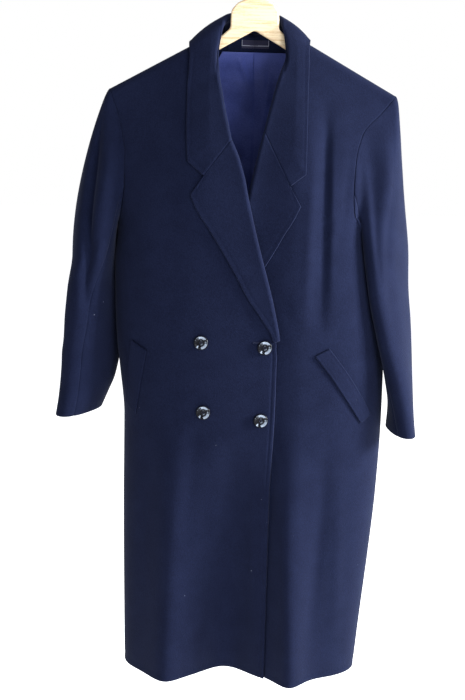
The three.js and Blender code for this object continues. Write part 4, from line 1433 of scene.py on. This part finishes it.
    def _wood_group(self, look: WoodLook) -> NodeTree:
        """Beech: long grain lines and short dark flecks.

        Args:
            look: The wood's colours and lacquer.

        Returns:
            The group.
        """
        group = EffectGroup("beech_grain")
        build, place = group.build, group.inputs["Vector"]
        along = build.add("ShaderNodeMapping", {"Vector": place, "Scale": (0.06, 1.0, 1.0)}).outputs[0]
        grain = build.noise(along, 260.0, 4.0)
        short = build.add("ShaderNodeMapping", {"Vector": place, "Scale": (0.25, 1.0, 1.0)}).outputs[0]
        fleck = build.noise(short, 900.0, 2.0)
        value = build.math("ADD", build.math("MULTIPLY", grain, 0.75), build.math("MULTIPLY", fleck, 0.25))
        color = build.blend(build.ramp(value, 0.33, 0.58), group.inputs["Dark"], group.inputs["Light"])
        roughness = build.math("ADD", build.math("MULTIPLY", fleck, 0.12), look.roughness - 0.06)
        group.close(color, roughness, grain)
        return group.tree


@dataclass
class ClothPiece:
    """A made piece with what it stands for and how it was cut."""

    piece: Object
    nodes: tuple
    slot: str
    flat: tuple | None = None
    area: float | None = None
    held: str = "hung"
    rests_on: tuple = ("hanger_wood",)

    def declare(self) -> None:
        """Hide the parts that the piece replaces and log its face count."""
        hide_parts(*self.nodes)
        if self.flat:
            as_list(self.rests_on)
        LOG.info("%s: %d faces", self.piece.name, len(self.piece.data.polygons))


@dataclass
class Body:
    """The fronts, the back and what is sewn inside it."""

    form: CoatForm
    panels: Panels
    finishes: Finishes
    edge_groove: float = 0.9
    facing_seat: float = 0.9
    facing_thick: float = 1.6
    facing_half: float = 50.0
    facing_end: float = -156.0
    lining_seat: float = 2.9
    lining_half_top: float = 60.0
    lining_half: float = 150.0
    lining_top: float = -157.0
    lining_end: float = -640.0
    label_left: float = -24.0
    label_right: float = 29.0
    label_top: float = -135.0
    label_end: float = -149.5

    def build(self) -> list[ClothPiece]:
        """Make the body's cloth pieces.

        Returns:
            The pieces.
        """
        made = [self._front(Wearer.RIGHT, 0.40), self._front(Wearer.LEFT, 0.44), self._back()]
        made += [self._facing(), self._lining(), self._label()]
        return made

    def _front(self, wearer: Wearer, area: float) -> ClothPiece:
        """One front with its thick rolled edge.

        Args:
            wearer: Whose side it is on.
            area: Flat area of the cut in square metres.

        Returns:
            The piece.
        """
        sheet = self.panels.fronts[wearer]
        away = self.panels.edge_distance(wearer)
        z = sheet.grid[..., 2]
        low = smoothstep(ROLL_END_Z - 50, ROLL_END_Z - 120, z)
        thick = WOOL + (EDGE_WOOL - WOOL) * low * (1 - smoothstep(20, 70, away))
        inner = sheet.grid - sheet.normals * thick[..., None]
        outer = press_seams(sheet, SEAM_PRESS, (-1,))
        groove = self.edge_groove * ridge(away, EDGE_STITCH_IN, 1.8)
        groove = groove * smoothstep(ROLL_END_Z + 6, ROLL_END_Z - 10, z)
        hem = SEAM_PRESS * ridge(z, HEM_Z + HEM_STITCH_UP, 2.5)
        outer -= sheet.normals * (groove + hem)[..., None]
        name = f"front_{wearer.name.lower()}"
        piece = cloth_wall(name + "_cloth", outer, inner, self.finishes.wool, bulge=0.42)
        return ClothPiece(piece, (name,), "wool", (0.40, 1.28), area)

    def _back(self) -> ClothPiece:
        """The back, seamed to the fronts at the shoulders and sides.

        Returns:
            The piece.
        """
        sheet = self.panels.back
        inner = sheet.grid - sheet.normals * WOOL
        outer = press_seams(sheet, SEAM_PRESS, (0, -1))
        centre = SEAM_PRESS * ridge(sheet.grid[..., 0], 0, 1.6)
        hem = SEAM_PRESS * ridge(sheet.grid[..., 2], HEM_Z + HEM_STITCH_UP, 2.5)
        outer -= sheet.normals * (centre + hem)[..., None]
        piece = cloth_wall("back_cloth", outer, inner, self.finishes.wool)
        return ClothPiece(piece, ("back",), "wool", (0.60, 1.28), 0.66)

    def _inside(self, x: np.ndarray, z: np.ndarray, depth: np.ndarray | float, thickness: float) -> tuple:
        """Two grids of points behind the back's inner face.

        Args:
            x: Distances across, as rows and columns.
            z: Heights, as rows and columns.
            depth: How far the first grid lies from the back's outer surface.
            thickness: How far the second lies from the first.

        Returns:
            The grid next to the back and the one that shows.
        """
        grid = self.form.surface(Face.BACK, x, z)
        normals = grid_normals(grid)
        if normals[-1, 0, 1] < 0:
            normals = -normals
        depth = np.broadcast_to(depth, x.shape)[..., None]
        return grid - normals * depth, grid - normals * (depth + thickness)

    def _facing(self) -> ClothPiece:
        """The wool facing at the back neck.

        Returns:
            The piece.
        """
        across = np.linspace(-self.facing_half, self.facing_half, 60)
        x, z = np.meshgrid(across, np.linspace(NECK_Z + 1.5, self.facing_end, 24))
        layers = self._inside(x, z, WOOL + self.facing_seat, self.facing_thick)
        piece = cloth_wall("neck_facing_cloth", *layers, self.finishes.wool)
        return ClothPiece(
            piece, ("neck_facing",), "wool", (0.125, 0.038), 0.0044, "gathered", ("back_cloth",),
        )

    def _lining(self) -> ClothPiece:
        """The satin lining with its centre pleat and a few soft creases.

        Returns:
            The piece.
        """
        steps = 120
        down = np.linspace(0, 1, steps)[:, None]
        across = np.linspace(-1, 1, steps)[None, :]
        widening = (self.lining_half - self.lining_half_top) * np.minimum(1, 3 * down)
        x = across * (self.lining_half_top + widening)
        z = np.broadcast_to(self.lining_top + (self.lining_end - self.lining_top) * down, x.shape)
        pleat = 2.2 * smoothstep(-1.5, 1.5, x - 2) * smoothstep(46, 8, x)
        drag = ridge(x, -30 - (z + 165) * 0.42, 6)
        drag = drag * smoothstep(-235, -195, z) * smoothstep(-160, -172, z)
        slack = ridge(x, 26 + (z + 250) * 0.12, 7)
        slack = slack * smoothstep(-380, -300, z) * smoothstep(-170, -210, z)
        sway = 1.1 * np.sin(x / 11) * np.sin((z + 157) / 60) + 0.5 * np.sin((z + 0.3 * x) / 17)
        loose = 0.9 + pleat + 3.2 * drag + 2.4 * slack + sway
        edge = np.minimum(down, 1 - down) * steps
        depth = WOOL + self.lining_seat + loose * smoothstep(0, 4, edge)
        piece = cloth_wall("back_lining_cloth", *self._inside(x, z, depth, 1.0), self.finishes.satin)
        return ClothPiece(
            piece, ("back_lining",), "lining", (0.30, 0.50), 0.13, "hung", ("back_cloth",),
        )

    def _label(self) -> ClothPiece:
        """The bare label below the neck, with a pale woven border.

        Returns:
            The piece.
        """
        across = np.linspace(self.label_left, self.label_right, 60)
        x, z = np.meshgrid(across, np.linspace(self.label_top, self.label_end, 30))
        depth = WOOL + self.facing_seat + self.facing_thick + SEAM_GAP
        piece = cloth_wall("neck_label_cloth", *self._inside(x, z, depth, 0.8), self.finishes.label)
        piece.data.materials.append(self.finishes.label_edge)
        for face in piece.data.polygons:
            at = face.center / MM
            from_sides = min(at.x - self.label_left, self.label_right - at.x)
            from_ends = min(self.label_top - at.z, at.z - self.label_end)
            if 0.9 < min(from_sides, from_ends) < 2.3:
                face.material_index = 1
        return ClothPiece(
            piece, ("neck_label",), "label", (0.054, 0.016), None, "gathered", ("neck_facing_cloth",),
        )


@dataclass
class Sleeve:
    """One sleeve of two pieces."""

    wearer: Wearer
    panels: Panels
    finishes: Finishes
    seam_press: float = 0.6

    def build(self) -> list[ClothPiece]:
        """Make the upper and the under piece.

        Returns:
            The two pieces.
        """
        form = SleeveForm(self.wearer, self.panels)
        count = form.grid.shape[1]
        yoke = ROWS[:ARMPIT_ROW + 1]
        front_seam = int(np.argmin(np.abs(yoke - UNDER_SEAM_FRONT)))
        back_seam = count - 1 - int(np.argmin(np.abs(yoke - UNDER_SEAM_BACK)))
        under = list(range(front_seam, back_seam + 1))
        upper = [*range(back_seam, count), *range(1, front_seam + 1)]
        side = self.wearer.name.lower()
        made = []
        for name, run, flat, area in (
            (f"upper_sleeve_{side}", upper, (0.21, 0.66), 0.108),
            (f"under_sleeve_{side}", under, (0.16, 0.58), 0.058),
        ):
            outer, inner = form.run(run)
            outer = press_seams(Sheet(outer, unit(outer - inner)), self.seam_press, (0, -1))
            piece = cloth_wall(name + "_cloth", outer, inner, self.finishes.wool, bulge=0.4)
            made.append(ClothPiece(piece, (name,), "wool", flat, area, "hung", BOTH_FRONTS))
        return made


@dataclass
class Folds:
    """The lapels, the collar and the pocket welts."""

    form: CoatForm
    finishes: Finishes
    edge_groove: float = 0.35
    welt_seat: float = 0.9

    def build(self) -> list[ClothPiece]:
        """Make the folded leaves and the welts.

        Returns:
            The pieces.
        """
        leaves = FoldForm(self.form)
        made = []
        for wearer in Wearer:
            name = f"lapel_{wearer.name.lower()}"
            piece = self._leaf(name, leaves.lapel(wearer))
            made.append(ClothPiece(piece, (name,), "wool", (0.15, 0.36), 0.031, "folded", BOTH_FRONTS))
        collar = self._leaf("collar", leaves.collar())
        made.append(ClothPiece(collar, ("collar",), "wool", (0.56, 0.13), 0.060, "folded", ("back_cloth",)))
        made += [self._welt(wearer) for wearer in Wearer]
        return made

    def _leaf(self, name: str, middle: np.ndarray) -> Object:
        """A folded wall about a middle surface, grooved along its outline.

        Args:
            name: The node that it stands for.
            middle: The middle surface's points, with the outline in the last column.

        Returns:
            The object.
        """
        normals = grid_normals(middle)
        steps = np.linalg.norm(np.diff(middle, axis=1), axis=2)
        gone = np.cumsum(steps[:, ::-1], axis=1)[:, ::-1]
        away = np.concatenate([gone, np.zeros((len(middle), 1))], axis=1)
        groove = normals * (self.edge_groove * ridge(away, EDGE_STITCH_IN + 0.5, 2.2))[..., None]
        top = middle + normals * WOOL / 2
        under = middle - normals * WOOL / 2
        if normals[len(middle) // 4, middle.shape[1] * 3 // 4, 1] < 0:
            top -= groove
        else:
            under += groove
        return cloth_wall(name + "_cloth", top, under, self.finishes.wool, bulge=0.45)

    def _welt(self, wearer: Wearer) -> ClothPiece:
        """A slanted pocket welt on a front.

        Args:
            wearer: Whose side it is on.

        Returns:
            The piece.
        """
        welt = WELTS[wearer]
        down, across = np.linspace(0, 1, 70), np.linspace(0, 1, 17)
        grid = np.zeros((len(down), len(across), 3))
        for r, t in enumerate(down):
            inner = welt.top_inner + (welt.bottom_inner - welt.top_inner) * t
            outer = welt.top_outer + (welt.bottom_outer - welt.top_outer) * t
            for c, u in enumerate(across):
                z = welt.top - welt.drop * t - welt.tilt * (1 - u)
                grid[r, c] = self._round_from_side(wearer, inner + (outer - inner) * u, z)
        normals = grid_normals(grid)
        if normals[0, 0, 1] > 0:
            normals = -normals
        groove = 0.5 * ridge(across, 0.86, 0.07) + 0.3 * ridge(across, 0.12, 0.06)
        top = grid + normals * (self.welt_seat + WOOL - groove)[None, :, None]
        under = grid + normals * self.welt_seat
        side = wearer.name.lower()
        name = f"pocket_welt_{side}"
        piece = cloth_wall(name + "_cloth", top, under, self.finishes.wool, bulge=0.4)
        return ClothPiece(
            piece, (name,), "wool", (0.032, 0.160), None, "stretched", (f"front_{side}_cloth",),
        )

    def _round_from_side(self, wearer: Wearer, distance: float, z: float) -> np.ndarray:
        """The point of a front at a distance round from its side seam.

        Args:
            wearer: Whose front it is.
            distance: How far round the cloth.
            z: The height.

        Returns:
            The point.
        """
        x = wearer.value * (float(self.form.side[wearer](z)) - np.arange(0, 260.0, 1.0))
        line = self.form.front(wearer, x, np.full_like(x, z))
        gone = np.concatenate([[0], np.cumsum(np.linalg.norm(np.diff(line, axis=0), axis=1))])
        at = float(np.interp(distance, gone, x))
        return self.form.front(wearer, np.array([at]), np.array([z]))[0]


@dataclass(frozen=True)
class ButtonPlace:
    """Where a button is sewn on."""

    node: str
    x: float
    z: float


BUTTONS = (
    ButtonPlace("button_upper_right", -82, -684), ButtonPlace("button_upper_left", 35, -690),
    ButtonPlace("button_lower_right", -75, -816), ButtonPlace("button_lower_left", 32, -828),
)
BUTTON_PROFILE = (
    (8, 0.35), (11.4, 0.15), (12.6, 0.5), (13.3, 1.4), (13.5, 2.2), (13.35, 3.1), (12.9, 3.8),
    (12.2, 4.3), (11.4, 4.4), (10.6, 4.15), (9.9, 3.7), (9.0, 3.35), (7.6, 3.05), (6.0, 2.85), (4.6, 2.75),
)
HANGER_LAYERS = (
    (-6.5, 3.0), (-6.1, 1.5), (-4.9, 0.4), (-3.5, 0.0), (3.5, 0.0), (4.9, 0.4), (6.1, 1.5), (6.5, 3.0),
)


def stacked_faces(rings: int, sides: int) -> list[tuple]:
    """Faces of a stack of rings with closed ends.

    Args:
        rings: How many rings there are.
        sides: How many points each has.

    Returns:
        The corner numbers of every face.
    """
    faces = []
    for i in range(rings - 1):
        for k in range(sides):
            n = (k + 1) % sides
            faces.append((i * sides + k, i * sides + n, (i + 1) * sides + n, (i + 1) * sides + k))
    faces.append(tuple(range(sides))[::-1])
    faces.append(tuple((rings - 1) * sides + k for k in range(sides)))
    return faces


def tube(
    name: str, line: Sequence[Vector], radius: float, material: Material, sides: int = 8,
) -> Object:
    """A round tube along a line, its ends closed.

    Args:
        name: The piece's name.
        line: Points in millimetres.
        radius: Its radius in millimetres.
        material: Its finish.
        sides: Sides of its section.

    Returns:
        The object.
    """
    verts = []
    for i, point in enumerate(line):
        way = (line[min(i + 1, len(line) - 1)] - line[max(i - 1, 0)]).normalized()
        a = way.cross(Vector((0, 1, 0.01))).normalized()
        b = way.cross(a).normalized()
        for k in range(sides):
            angle = 2 * math.pi * k / sides
            verts.append((point + (a * math.cos(angle) + b * math.sin(angle)) * radius) * MM)
    piece = mesh_piece(name, verts, stacked_faces(len(line), sides), material)
    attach(piece, BODY_NAME)
    return piece


@dataclass
class Buttons:
    """Four polished four-hole buttons with their thread and shanks."""

    form: CoatForm
    finishes: Finishes
    sides: int = 64
    seat: float = 0.7
    hole_pitch: float = 3.6
    hole_radius: float = 0.95
    bar_radius: float = 0.42
    shank_radius: float = 2.2

    def build(self) -> None:
        """Make every button."""
        for place in BUTTONS:
            button = self._disc(place)
            self._thread(place)
            LOG.info("%s: %d faces", button.name, len(button.data.polygons))

    def _turn(self, place: ButtonPlace) -> Matrix:
        """The button's place, its axis square to the cloth.

        Args:
            place: Where it is sewn on.

        Returns:
            The matrix from the button's own frame.
        """
        x = np.array([place.x, place.x + 5, place.x - 5, place.x, place.x], float)
        z = np.array([place.z, place.z, place.z, place.z - 5, place.z + 5], float)
        seat, right, left, below, above = (Vector(p) for p in self.form.front(Wearer.RIGHT, x, z))
        normal = (right - left).cross(below - above).normalized()
        if normal.y > 0:
            normal.negate()
        across = Vector((1, 0, 0))
        across = (across - normal * across.dot(normal)).normalized()
        up = normal.cross(across)
        turn = Matrix((across, up, normal)).transposed().to_4x4()
        return Matrix.Translation((seat + normal * self.seat) * MM) @ turn

    def _disc(self, place: ButtonPlace) -> Object:
        """A lathed button, drilled with four holes.

        Args:
            place: Where it is sewn on.

        Returns:
            The object.
        """
        verts = []
        for radius, height in BUTTON_PROFILE:
            for k in range(self.sides):
                angle = 2 * math.pi * k / self.sides
                verts.append((radius * math.cos(angle) * MM, radius * math.sin(angle) * MM, height * MM))
        faces = stacked_faces(len(BUTTON_PROFILE), self.sides)
        button = mesh_piece(place.node + "_horn", verts, faces, self.finishes.horn)
        for sx in (-1, 1):
            for sy in (-1, 1):
                self._drill(button, sx * self.hole_pitch / 2, sy * self.hole_pitch / 2)
        button.data.polygons.foreach_set("use_smooth", [True] * len(button.data.polygons))
        button.data.set_sharp_from_angle(angle=math.radians(40))
        button.matrix_world = self._turn(place)
        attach(button, BODY_NAME)
        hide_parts(place.node)
        return button

    def _drill(self, button: Object, x: float, y: float) -> None:
        """Cut one hole.

        Args:
            button: The button, in its own frame.
            x: The hole's place across.
            y: The hole's place upwards.
        """
        bpy.ops.mesh.primitive_cylinder_add(
            vertices=16, radius=self.hole_radius * MM, depth=12 * MM, location=(x * MM, y * MM, 0),
        )
        drill = bpy.context.object
        cut = button.modifiers.new("hole", "BOOLEAN")
        cut.operation = "DIFFERENCE"
        cut.object = drill
        cut.solver = "EXACT"
        bpy.context.view_layer.objects.active = button
        bpy.ops.object.modifier_apply(modifier=cut.name)
        bpy.data.objects.remove(drill)

    def _thread(self, place: ButtonPlace) -> None:
        """Two bars of thread through the holes and a shank under the button.

        Args:
            place: Where the button is sewn on.
        """
        turn = self._turn(place)
        half = self.hole_pitch / 2
        for number, side in enumerate((-1, 1)):
            line = []
            for t in np.linspace(-1, 1, 13):
                dip = 1.2 * max(0, abs(t) - 0.86) / 0.14
                rise = 2.75 + 0.55 * math.cos(t * math.pi / 2) ** 0.5 - dip
                line.append(turn @ (Vector((side * half, t * half * 1.06, rise)) * MM) / MM)
            bar = tube(f"{place.node}_thread_{number}", line, self.bar_radius, self.finishes.thread)
        line = [turn @ (Vector((0, 0, h)) * MM) / MM for h in (-1.2, -0.4, 0.2, 0.9)]
        shank = tube(f"{place.node}_shank", line, self.shank_radius, self.finishes.thread, sides=16)


@dataclass
class Sewing:
    """The worked buttonholes, each by its two ends and its height."""

    form: CoatForm
    finishes: Finishes
    holes: tuple = ((13, 40, -681), (24, 44, -822))
    row_radius: float = 0.62

    def build(self) -> None:
        """Make the buttonholes beside the front edge."""
        for number, (x0, x1, z) in enumerate(self.holes):
            self._buttonhole(number, x0, x1, z)
        LOG.info("buttonholes: %d", len(self.holes))

    def _buttonhole(self, number: int, x0: float, x1: float, z: float) -> None:
        """A worked buttonhole: two close rows of purl with a cut between.

        Args:
            number: Its number from the top.
            x0: Its inner end.
            x1: Its end by the front edge.
            z: Its height.
        """
        for side in (-1, 1):
            line = []
            for t in np.linspace(0, 1, 90):
                x = x0 + (x1 - x0) * t
                spread = 0.75 + 0.15 * math.sin(t * 190)
                point = self.form.front(Wearer.RIGHT, np.array([x]), np.array([z + side * spread]))[0]
                line.append(Vector(point) + Vector((0, -0.35 + 0.12 * math.sin(t * 260), 0)))
            name = f"buttonhole_{number}_{'upper' if side > 0 else 'lower'}"
            tube(name, line, self.row_radius, self.finishes.thread)


@dataclass
class Hanger:
    """The wooden hanger and its wire hook."""

    finishes: Finishes
    hook_radius: float = 20.0
    hook_crown: float = 2.0
    wire_radius: float = 2.0
    hump_x: float = 44.0
    corner_round: float = 5.0

    def build(self) -> None:
        """Make the wood and the hook, a round wire."""
        self._wood()
        shaft = [Vector((0, 0, z)) for z in np.linspace(-71.5, -48, 10)]
        bow = []
        for degrees in range(-50, 201, 5):
            angle = math.radians(degrees)
            up = self.hook_crown - self.hook_radius + self.hook_radius * math.sin(angle)
            bow.append(Vector((self.hook_radius * math.cos(angle), 0, up)))
        low, turn = Vector((0, 0, -48)), Vector((0, 0, -40))
        bend = [
            low.lerp(turn, t) * (1 - t) + turn.lerp(bow[0], t) * t
            for t in np.linspace(0.1, 0.9, 9)
        ]
        wire = tube("hook_wire", [*shaft, *bend, *bow], self.wire_radius, self.finishes.wire, sides=24)
        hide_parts("hook")
        LOG.info("hook: %d faces", len(wire.data.polygons))

    def _outline(self) -> np.ndarray:
        """The hanger's outline in the XZ plane, its corners rounded.

        Returns:
            Points as x and z.
        """
        def top(x: float) -> float:
            """Height of the arm's upper edge."""
            return NECK_Z - 5.2 - SHOULDER_SLOPE * (x - NECK_X)

        half = [
            (14, -66), (32, -74), (43, -87), (self.hump_x, -104), (self.hump_x, -119), (61, -134),
            (78, top(78)), (150, top(150)), (224, top(224)), (233, top(236) - 3),
            (236, top(236) - 12), (232, top(236) - 21), (222, top(236) - 19),
            (150, top(150) - 24), (70, -161.2),
        ]
        corners = np.array([(0, -64), *half, (0, -122), *[(-x, z) for x, z in reversed(half)]], float)
        line = []
        for i, here in enumerate(corners):
            to_last = corners[i - 1] - here
            to_next = corners[(i + 1) % len(corners)] - here
            shorter = min(np.linalg.norm(to_last), np.linalg.norm(to_next))
            cut = min(self.corner_round, shorter / 2.2)
            start, end = here + unit(to_last) * cut, here + unit(to_next) * cut
            for t in np.linspace(0, 1, 5):
                line.append((1 - t) ** 2 * start + 2 * t * (1 - t) * here + t**2 * end)
        return np.array(line)

    def _wood(self) -> None:
        """Extrude the outline and round its edges."""
        outline = self._outline()
        step = np.roll(outline, -1, axis=0) - np.roll(outline, 1, axis=0)
        inward = unit(np.stack([-step[:, 1], step[:, 0]], axis=1))
        if np.sum(inward[0] * (np.array([0, -90]) - outline[0])) < 0:
            inward = -inward
        verts = []
        for y, inset in HANGER_LAYERS:
            verts += [(x * MM, y * MM, z * MM) for x, z in outline + inward * inset]
        faces = [face[::-1] for face in stacked_faces(len(HANGER_LAYERS), len(outline))]
        wood = mesh_piece("hanger_wood", verts, faces, self.finishes.wood)
        wood.data.polygons.foreach_set("use_smooth", [len(face) == 4 for face in faces])
        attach(wood, BODY_NAME)
        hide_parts("hanger")
        LOG.info("hanger: %d faces", len(wood.data.polygons))


@dataclass
class Studio:
    """Camera, plain pale floor and soft lights; places in metres, turns in degrees."""

    camera_place: tuple = (-0.024, -2.300, -0.228)
    camera_tip: float = 12.0
    camera_roll: float = 1.6
    camera_lens: float = 63.0
    floor_half: float = 12.0
    floor_z: float = -1.62
    aim: tuple = (0, 0, -0.6)

    def build(self) -> None:
        """Set up the camera, the floor, the world and the lights."""
        self._camera()
        self._floor()
        self._world()
        for name, place, power, size, color in (
            ("key", (2.7, -0.5, 0.1), 250, 0.8, (0.96, 0.98, 1.0)),
            ("front", (1.7, -2.5, 0.2), 42, 1.2, (1.0, 1.0, 1.0)),
            ("top", (0.5, -0.7, 1.5), 18, 1.4, (1.0, 1.0, 1.0)),
            ("behind", (0.9, 2.4, 0.4), 22, 1.8, (1.0, 1.0, 1.0)),
        ):
            self._light(name, Vector(place), power, size, color)

    def _camera(self) -> None:
        """The photograph's viewpoint: near the chest, tipped down and rolled a little."""
        tip, roll = math.radians(self.camera_tip), math.radians(self.camera_roll)
        look = Vector((0, math.cos(tip), -math.sin(tip)))
        upright = Vector((0, math.sin(tip), math.cos(tip)))
        right = Vector((1, 0, 0)) * math.cos(roll) + upright * math.sin(roll)
        up = right.cross(look)
        data = bpy.data.cameras.new("camera")
        data.sensor_fit = "VERTICAL"
        data.sensor_height = 36
        data.lens = self.camera_lens
        data.dof.use_dof = False
        camera = bpy.data.objects.new("camera", data)
        turn = Matrix((right, up, -look)).transposed().to_4x4()
        camera.matrix_world = Matrix.Translation(self.camera_place) @ turn
        bpy.context.scene.collection.objects.link(camera)
        bpy.context.scene.camera = camera

    def _floor(self) -> None:
        """A pale floor some way under the hem."""
        ends = ((-1, -1), (1, -1), (1, 1), (-1, 1))
        corners = [(x * self.floor_half, y * self.floor_half, self.floor_z) for x, y in ends]
        mesh_piece("floor", corners, [(0, 1, 2, 3)], self._pale())

    def _pale(self) -> Material:
        """Matt pale grey with a faint cloudiness.

        Returns:
            The material.
        """
        material = bpy.data.materials.new("pale_floor")
        material.use_nodes = True
        build = NodeBuilder(material.node_tree)
        place = build.add("ShaderNodeTexCoord").outputs["Object"]
        cloud = build.noise(place, 2.0, 2.0)
        color = build.blend(build.ramp(cloud, 0.3, 0.7), (0.80, 0.80, 0.81, 1), (0.86, 0.86, 0.87, 1))
        shader = material.node_tree.nodes["Principled BSDF"]
        material.node_tree.links.new(color, shader.inputs["Base Color"])
        shader.inputs["Roughness"].default_value = 0.9
        shader.inputs["Emission Color"].default_value = (1, 1, 1, 1)
        shader.inputs["Emission Strength"].default_value = 0.75
        return material

    def _world(self) -> None:
        """A plain bright surround."""
        world = bpy.data.worlds.new("surround")
        world.use_nodes = True
        build = NodeBuilder(world.node_tree)
        lit = world.node_tree.nodes["Background"]
        lit.inputs["Color"].default_value = (0.93, 0.95, 1.0, 1)
        lit.inputs["Strength"].default_value = 0.36
        seen = build.add("ShaderNodeBackground", {"Color": (1, 1, 1, 1), "Strength": 1.0})
        straight = build.add("ShaderNodeLightPath").outputs["Is Camera Ray"]
        both = build.add("ShaderNodeMixShader", {0: straight, 1: lit.outputs[0], 2: seen.outputs[0]})
        world.node_tree.links.new(both.outputs[0], world.node_tree.nodes["World Output"].inputs["Surface"])
        bpy.context.scene.view_settings.view_transform = "Standard"
        bpy.context.scene.world = world

    def _light(self, name: str, place: Vector, power: float, size: float, color: tuple) -> None:
        """A square soft light aimed at the coat's middle.

        Args:
            name: Its name.
            place: Where it hangs.
            power: Its power in watts.
            size: Its side in metres.
            color: Its colour.
        """
        data = bpy.data.lights.new(name, "AREA")
        data.energy = power
        data.size = size
        data.color = color
        light = bpy.data.objects.new(name, data)
        light.location = place
        light.rotation_mode = "QUATERNION"
        light.rotation_quaternion = (Vector(self.aim) - place).to_track_quat("-Z", "Y")
        bpy.context.scene.collection.objects.link(light)


def main() -> None:
    """Build the studio, then the coat from the body outwards."""
    Studio().build()
    finishes = Finishes()
    form = CoatForm()
    panels = Panels(form)
    cloth = Body(form, panels, finishes).build()
    for wearer in Wearer:
        cloth += Sleeve(wearer, panels, finishes).build()
    cloth += Folds(form, finishes).build()
    for piece in cloth:
        piece.declare()
    Buttons(form, finishes).build()
    Sewing(form, finishes).build()
    Hanger(finishes).build()


if __name__ == "__main__":
    main()
